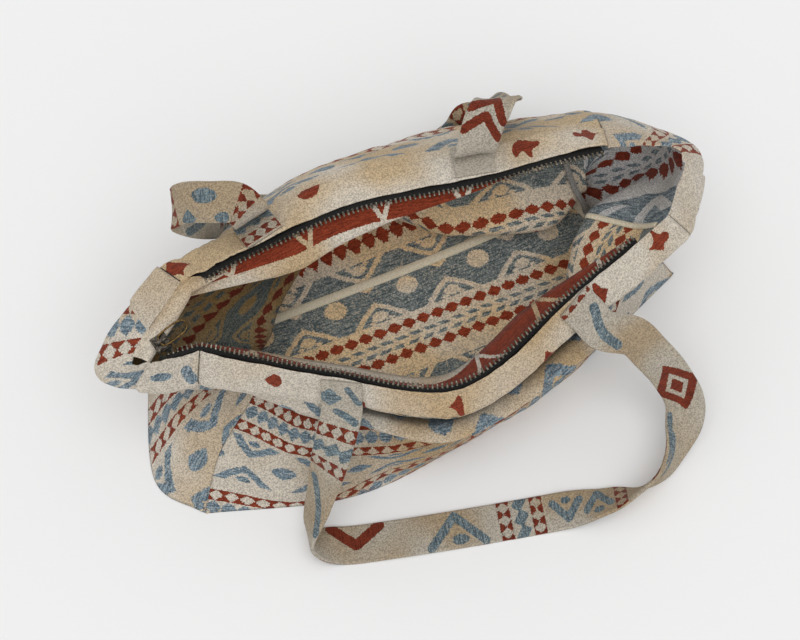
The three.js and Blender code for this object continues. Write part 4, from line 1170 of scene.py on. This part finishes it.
# the bands woven into each face of a strap: along its run, then across it, in millimetres
def strapRepeat(*starts):
    rows = []
    for at in starts:
        rows += [('red', 'bow', at), ('blue', 'chain', at + 14), ('red', 'bow', at + 28),
                 ('blue', 'vee', (at + 58, -11), (20, 23), 3.2), ('blue', 'oval', (at + 58, 9), (6, 4)),
                 ('blue', 'vee', (at + 94, 11), (18, -22), 3.2)]
    return rows


frontOuterFigures = [
    ('blue', 'gem', (14, -9), (9, 10)), ('blue', 'stroke', (5, 5), (18, 14), 2.6),
    ('blue', 'stroke', (28, -4), (35, 12), 3.0),
    ('red', 'bow', 46), ('blue', 'chain', 60.5), ('red', 'bow', 75), ('blue', 'stroke', (94, -9), (138, 14), 3.8),
    ('blue', 'stroke', (455, 12), (500, 13), 2.2), ('blue', 'stroke', (446, 3), (482, 10), 2.4),
    ('red', 'ring', (529, 0), (25, 19)), ('blue', 'stroke', (644, -7), (610, 9), 4.0), ('red', 'bow', 661),
] + strapRepeat(165, 293)
frontInnerFigures = [
    ('red', 'vee', (192, 1), (20, -14), 4.4), ('blue', 'vee', (273, -11), (22, 24), 3.6),
    ('blue', 'oval', (275, 9), (7, 4.4)), ('red', 'bow', 313), ('blue', 'chain', 326.5), ('red', 'bow', 340),
    ('blue', 'vee', (364, 8), (11, -15), 3.2), ('blue', 'oval', (364, -8), (4, 3)),
    ('blue', 'vee', (390, -10), (10, 15), 3.2), ('blue', 'oval', (390, 8), (4.4, 3.4)),
    ('red', 'bow', 409), ('red', 'bow', 439),
] + strapRepeat(20, 470)
backInnerFigures = [
    ('red', 'bow', 5), ('blue', 'chain', 19), ('red', 'bow', 67), ('blue', 'oval', (97, 5), (10, 6)),
    ('blue', 'gem', (112, -13), (9, 8)), ('blue', 'oval', (83, -12), (6, 4.4)), ('red', 'bow', 131),
    ('red', 'arrow', (640, 0), (14, 13), 3.2), ('red', 'arrow', (656, 0), (14, 13), 3.2),
] + strapRepeat(190, 318, 446)
backOuterFigures = [
    ('blue', 'arrow', (178, 0), (-24, 12), 3.6), ('red', 'arrow', (684, 0), (14, 14), 3.4),
    ('red', 'arrow', (699, 0), (14, 14), 3.4),
] + strapRepeat(20, 215, 343, 471)


def handleStrap(name, startPlace, startSign, free, endPlace, endSign, node, finish, figures, slant=0):
    points = bandEnd(startPlace, startSign)
    scale = np.array((bagShape['halfLength'], bagShape['halfDepth'], bagShape['rimHeight']))
    points += [(np.array(row[:3]) * scale, unit(np.array(row[3:]))) for row in free]
    points += [(spot + shift, side) for (spot, side), shift in
               zip(bandEnd(endPlace, endSign), np.zeros((3, 3)) + slant)][::-1]
    spots, sides = (np.array(part) for part in zip(*points))
    shares = np.linspace(0, 1, strapSizes['fineSteps'])
    fine = arcLengths(smoothPath(spots, shares)[:, None], 0)[:, 0]
    shares = np.interp(np.linspace(0, fine[-1], strapSizes['steps']), fine, shares)
    path = smoothPath(spots, shares)
    along = unit(np.gradient(path, axis=0))
    across = smoothPath(sides, shares, strapSizes['twistPull'])
    across = unit(across - along * np.sum(across * along, axis=1, keepdims=True))
    face = np.cross(along, across)
    half = strapSizes['width'] / 2
    offs = np.sin(np.linspace(-1, 1, strapSizes['across']) * math.pi / 2) * strapSizes['width'] / 2
    middle = path[:, None] + across[:, None] * offs[None, :, None]
    run = arcLengths(path[:, None], 0)
    soft = np.sqrt(np.clip((1 - np.abs(offs) / half) / strapSizes['edgeSoft'], strapSizes['edgeLeast'], 1))
    fromStitch = (np.abs(offs) - half + strapSizes['stitchIn']) / strapSizes['stitchWide']
    thick = strapSizes['thick'] / 2 * soft * (1 - strapSizes['stitchDip'] * np.exp(-fromStitch ** 2))
    outer, inner = (middle + face[:, None] * side * thick[None, :, None] for side in (1, -1))
    maps = np.stack([np.tile(offs, (len(shares), 1)), np.repeat(run, len(offs), axis=1)], axis=-1)
    drawn = [drawFigures(run / mm, offs[None] / mm, table) for table in figures]
    marks = {'hem': (fullMark, fullMark), 'drawnRed': [one['red'] for one in drawn],
             'drawnBlue': [one['blue'] for one in drawn]}  # plain cloth but for the drawn bands
    piece = sheetMesh(name, outer, inner, maps, maps, (finish, finish), marks=marks)
    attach(piece, 'bag')
    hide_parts(node)
    print('stage: strap', name, 'length', float(run[-1, 0]), 'area', float(sheetArea(piece)))
    return piece


strapCloth = wovenFinish('strapCloth', cool=0.15, warmTone='#9e896b', coolTone='#ada597',
                         redTone='#75301c', blueTone='#72838a', blueDeep='#46565e')
frontHandle = handleStrap('frontHandleStrap', 3.1, 1, frontFree, 5, -1, 'front_handle', strapCloth,
                          (frontOuterFigures, frontInnerFigures), frontEndSlant)
backHandle = handleStrap('backHandleStrap', 12, -1, backFree, 10, -1, 'back_handle', strapCloth,
                         (backOuterFigures, backInnerFigures))


# binding tapes over the inside seams
bindingSizes = {
    'width': 8 * mm, 'thick': 2.0 * mm, 'ridge': 0.5 * mm, 'ridgeAt': 0.55, 'ridgeSoft': 0.12, 'roundness': 4,
    'edgeShare': 0.98, 'steps': 120, 'across': 11, 'sway': 1.2 * mm, 'swayRate': 21, 'lift': 0.4 * mm,
    'endStart': 0.12, 'cornerWide': 0.62, 'rib': 0.9, 'grain': 0.8, 'grainRange': (0.3, 0.7),
}


def bindingFinish(name, dark, light):
    material, tree, shader = newMaterial(name, 0.75, specular=0.35, sheen=0.1)
    along, across = uvInMillimetres(tree)
    rib = threadWave(tree, along, bindingSizes['rib'])
    grain = grainNoise(tree, along, across, 9.0, bindingSizes['grain'])
    tone = blendColour(tree, ramped(tree, grain, *bindingSizes['grainRange']), tint(dark), tint(light))
    tree.links.new(tone, shader.inputs['Base Color'])
    addBump(tree, shader, calc(tree, 'ADD', rib, grain), 0.35, 0.0004)
    return material


bindingTape = bindingFinish('bindingTape', '#e8dcbf', '#fff4dc')
# a darker copy of the same binding tape: painted shade for the tape that sits in the shaded back corner
shadedTape = bindingFinish('bindingTapePaintedShade', '#84827e', '#b0aeaa')


def bindingStrip(name, path, across, face, node=None, wide=1.0, finish=bindingTape):
    z = bindingSizes
    shares = np.linspace(-1, 1, z['across'])
    half = z['width'] / 2 * wide
    ridges = np.exp(-((np.abs(shares) - z['ridgeAt']) / z['ridgeSoft']) ** 2) * z['ridge']
    hump = np.sqrt(1 - np.abs(shares) ** z['roundness'] * z['edgeShare']) * z['thick'] - ridges
    lower = path[:, None] + across[:, None] * (shares * half)[None, :, None]
    upper = lower + face[:, None] * hump[None, :, None]
    run = arcLengths(path[:, None], 0)
    maps = np.stack([np.repeat(run, z['across'], axis=1), np.tile(shares * half, (len(path), 1))], axis=-1)
    piece = sheetMesh(name, upper, lower, maps, maps, (finish, finish))
    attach(piece, 'bag')
    if node:
        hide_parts(node)
    return piece


def baseBinding():
    low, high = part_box('base_seam_binding')
    low, high = np.array(low), np.array(high)
    x = np.linspace(low[0], high[0], bindingSizes['steps'])
    path = np.stack([x, np.full_like(x, (low[1] + high[1]) / 2), np.full_like(x, low[2])], axis=1)
    path[:, 1] += np.sin((x - low[0]) * bindingSizes['swayRate']) * bindingSizes['sway']
    across, up = (np.tile(way, (len(x), 1)) for way in ((0, 1.0, 0), (0, 0, 1.0)))
    bindingStrip('baseSeamTape', path, across, up, 'base_seam_binding')


def endBinding(name, panel, inset, last, node):
    u = np.linspace(bindingSizes['endStart'], last, bindingSizes['steps'])
    foot = smoothPath(panel['foot'], u, edgePull)
    along = unit(np.gradient(foot, axis=0))
    inward = np.stack([-along[:, 1], along[:, 0], np.zeros(len(u))], axis=1)
    path = foot + inward * (inset + bindingSizes['width'] / 2)
    path[:, 2] = bagShape['clothThick'] + bindingSizes['lift']
    bindingStrip(name, path, inward, np.tile((0, 0, 1.0), (len(u), 1)), node)


baseBinding()
endBinding('rightEndTape', rightCloth, 5 * mm, 0.6, 'right_end_seam_binding')
endBinding('leftEndTape', leftCloth, 14 * mm, 0.88, 'left_end_seam_binding')


def cornerTape(name, stops, face, finish):
    path = smoothPath(np.array(stops) * mm, np.linspace(0, 1, bindingSizes['steps'] // 2))
    along = unit(np.gradient(path, axis=0))
    face = unit(np.array(face)[None] - along * (along @ np.array(face))[:, None])
    return bindingStrip(name, path, np.cross(face, along), face, wide=bindingSizes['cornerWide'], finish=finish)


# the back corner tape takes the darker copy of the binding tape: painted shade
backCornerTape = cornerTape('backCornerTape', (
    (162.5, 25, 57.5), (162, 18.7, 55.4), (161, 5.7, 49.4), (162, -4.3, 42.4), (167.5, -9.5, 24), (171, -12, 8),
    (176, -19, 5.5), (178, -29, 5),
), (-0.17, -0.38, 0.9), shadedTape)
noseSeam = wallGrid(frontCloth, 1.0, np.linspace(0.3, 0.62, 6))[0] / mm
frontCornerTape = cornerTape('frontCornerTape', noseSeam + np.array((-2.0, 2.0, 2.6)),
                             (-0.3, 0.3, 0.9), bindingTape)
print('stage: bindings')

# slider and wire pull at the left end of the zip
sliderSizes = {
    'middle': Vector((-212.563, -30.441, 130.539)) * mm,
    'axisX': Vector((0.97514, 0.20379, 0.08704)), 'axisY': Vector((-0.21712, 0.95722, 0.19127)),
    'axisZ': Vector((-0.04434, -0.20542, 0.97767)),
    'plateLong': 13 * mm, 'plateWide': 12 * mm, 'plateThick': 1.6 * mm, 'plateBevel': 0.6 * mm,
    'channel': 5.4 * mm,
    'heelShare': 0.6, 'postWide': 2.2 * mm, 'postBack': 1 * mm, 'postFront': 0.5 * mm, 'innerBevel': 0.3 * mm,
    'bailHeight': 4.3 * mm, 'bailWide': 3 * mm, 'bailBar': 1.4 * mm, 'bailFrom': 1 * mm, 'bailTo': 2.6 * mm,
    'legBevel': 0.35 * mm, 'barBevel': 0.5 * mm, 'overlap': 0.2 * mm, 'smoothUnder': math.radians(40),
    'wire': 1.5 * mm, 'wireSides': 12, 'wireSteps': 96, 'pullLong': 24 * mm, 'pullWide': 9 * mm,
    'pullCorner': 1.6 * mm, 'pullRest': math.radians(10), 'pivot': 5.75 * mm,
}
sliderTurn = Matrix.Identity(4)
for k, axis in enumerate((sliderSizes['axisX'], sliderSizes['axisY'], sliderSizes['axisZ'])):
    for r in range(3):
        sliderTurn[r][k] = axis[r]
for r in range(3):
    sliderTurn[r][3] = sliderSizes['middle'][r]


def blockPiece(name, fromX, toX, wide, fromZ, toZ, bevel):
    bpy.ops.object.select_all(action='DESELECT')
    bpy.ops.mesh.primitive_cube_add(size=1, location=((fromX + toX) / 2, 0, (fromZ + toZ) / 2))
    piece = bpy.context.object
    piece.name = name
    piece.scale = (toX - fromX, wide, toZ - fromZ)
    bpy.ops.object.transform_apply(location=True, rotation=False, scale=True)
    bpy.ops.object.mode_set(mode='EDIT')
    bpy.ops.mesh.select_all(action='SELECT')
    bpy.ops.mesh.bevel(offset=bevel, segments=3, profile=0.6)
    bpy.ops.object.mode_set(mode='OBJECT')
    return piece


def makeSlider(z):
    gap = z['channel'] / 2
    top = gap + z['plateThick']
    bailTop = top + z['bailHeight']
    half = z['plateLong'] / 2
    inside = (-gap - z['overlap'], gap + z['overlap'], z['innerBevel'])
    leg = (z['bailWide'], top - z['overlap'], bailTop, z['legBevel'])
    parts = [
        blockPiece('plateTop', -half, half, z['plateWide'], gap, top, z['plateBevel']),
        blockPiece('plateLow', -half, half, z['plateWide'], -top, -gap, z['plateBevel']),
        blockPiece('heel', -half, -half / 2, z['plateWide'] * z['heelShare'], *inside),
        blockPiece('post', half / 2 - z['postBack'], half - z['postFront'], z['postWide'], *inside),
        blockPiece('bailLegA', -half + z['bailFrom'], -half + z['bailTo'], *leg),
        blockPiece('bailLegB', half - z['bailTo'], half - z['bailFrom'], *leg),
        blockPiece('bailBar', -half + z['bailFrom'], half - z['bailFrom'], z['bailWide'],
                   bailTop - z['bailBar'], bailTop, z['barBevel']),
    ]
    bpy.ops.object.select_all(action='DESELECT')
    for part in parts:
        part.select_set(True)
    bpy.context.view_layer.objects.active = parts[0]
    bpy.ops.object.join()
    slider = bpy.context.object
    slider.name = 'zipSliderBody'
    slider.data.name = 'zipSliderBody'
    slider.data.transform(sliderTurn)
    slider.data.materials.append(sliderMetal)
    bpy.ops.object.shade_smooth_by_angle(angle=z['smoothUnder'])
    return slider


def makePull(z):
    side, long, corner = z['pullWide'] / 2, z['pullLong'], z['pullCorner']
    stops = np.array([(0, -side + corner, 0), (0, side - corner, 0), (corner, side, 0),
                      (long - corner * 2, side, 0), (long, side - corner * 1.6, 0),
                      (long, -side + corner * 1.6, 0), (long - corner * 2, -side, 0), (corner, -side, 0)])
    looped = np.concatenate([stops, stops, stops])  # the middle round is smooth at both of its ends
    span = len(looped) - 1
    shares = np.linspace(len(stops) / span, 2 * len(stops) / span, z['wireSteps'] + 1)[:-1]
    path = smoothPath(looped, shares)
    along = unit(np.roll(path, -1, axis=0) - np.roll(path, 1, axis=0))
    up = np.tile((0, 0, 1.0), (len(path), 1))
    sideways = np.cross(up, along)
    sides, total = z['wireSides'], len(path)
    spots, faces = [], []
    for k in range(total):
        for j in range(sides):
            angle = 2 * math.pi * j / sides
            spots.append(path[k] + (sideways[k] * math.cos(angle) + up[k] * math.sin(angle)) * z['wire'] / 2)
            here, onward = k * sides, (k + 1) % total * sides
            after = (j + 1) % sides
            faces.append((here + j, here + after, onward + after, onward + j))
    pull = meshPiece('zipPullWire', spots, faces, pullBrass)
    turn = Matrix.Rotation(-z['pullRest'], 4, 'Y')
    turn.translation = (0, 0, z['pivot'])
    pull.data.transform(sliderTurn @ turn)
    return pull


slider = makeSlider(sliderSizes)
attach(slider, 'bag')
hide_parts('zip_slider')
pull = makePull(sliderSizes)
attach(pull, 'pull')
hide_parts('zip_pull')
print('stage: slider and pull')


# floor, light and camera
studio = {
    'floor': '#f0f0f0', 'floorOther': '#f1f1f1', 'floorSize': 12, 'floorDrop': 0.0004, 'floorCloud': 1.5,
    'sunPower': 1.12, 'sunAngle': 60, 'sunFrom': (-0.12, -0.4, 1), 'skyPower': 0.68,
}
photoView = {'sensor': 36, 'lens': 107.1, 'place': (-0.34107, -0.77222, 1.81343), 'tilt': 24, 'turn': -24}


def makeStudio(z):
    bpy.ops.object.select_all(action='DESELECT')
    bpy.ops.mesh.primitive_plane_add(size=z['floorSize'], location=(0, 0, -z['floorDrop']))
    floor = bpy.context.object
    floor.name = 'studioFloor'
    material, tree, shader = newMaterial('paleFloor', 0.9, specular=0.2)
    place = tree.nodes.new('ShaderNodeTexCoord')
    noise = tree.nodes.new('ShaderNodeTexNoise')
    noise.inputs['Scale'].default_value = z['floorCloud']
    tree.links.new(place.outputs['Object'], noise.inputs['Vector'])
    tone = blendColour(tree, noise.outputs['Fac'], tint(z['floor']), tint(z['floorOther']))
    tree.links.new(tone, shader.inputs['Base Color'])
    floor.data.materials.append(material)
    world = bpy.data.worlds.new('softStudio')
    bpy.context.scene.world = world
    world.use_nodes = True
    back = world.node_tree.nodes['Background']
    back.inputs['Color'].default_value = (1, 1, 1, 1)
    back.inputs['Strength'].default_value = z['skyPower']
    lamp = bpy.data.lights.new('keyLight', 'SUN')
    lamp.energy = z['sunPower']
    lamp.angle = math.radians(z['sunAngle'])
    key = bpy.data.objects.new('keyLight', lamp)
    key.rotation_euler = Vector(z['sunFrom']).to_track_quat('Z', 'Y').to_euler()
    bpy.context.scene.collection.objects.link(key)


def makeCamera(z):
    data = bpy.data.cameras.new('photoCamera')
    data.sensor_width = z['sensor']
    data.lens = z['lens']
    data.clip_end = 50
    camera = bpy.data.objects.new('photoCamera', data)
    camera.location = z['place']
    camera.rotation_euler = (math.radians(z['tilt']), 0, math.radians(z['turn']))
    bpy.context.scene.collection.objects.link(camera)
    bpy.context.scene.camera = camera


makeStudio(studio)
makeCamera(photoView)
bpy.context.scene.view_settings.view_transform = 'Standard'
print('stage: studio')
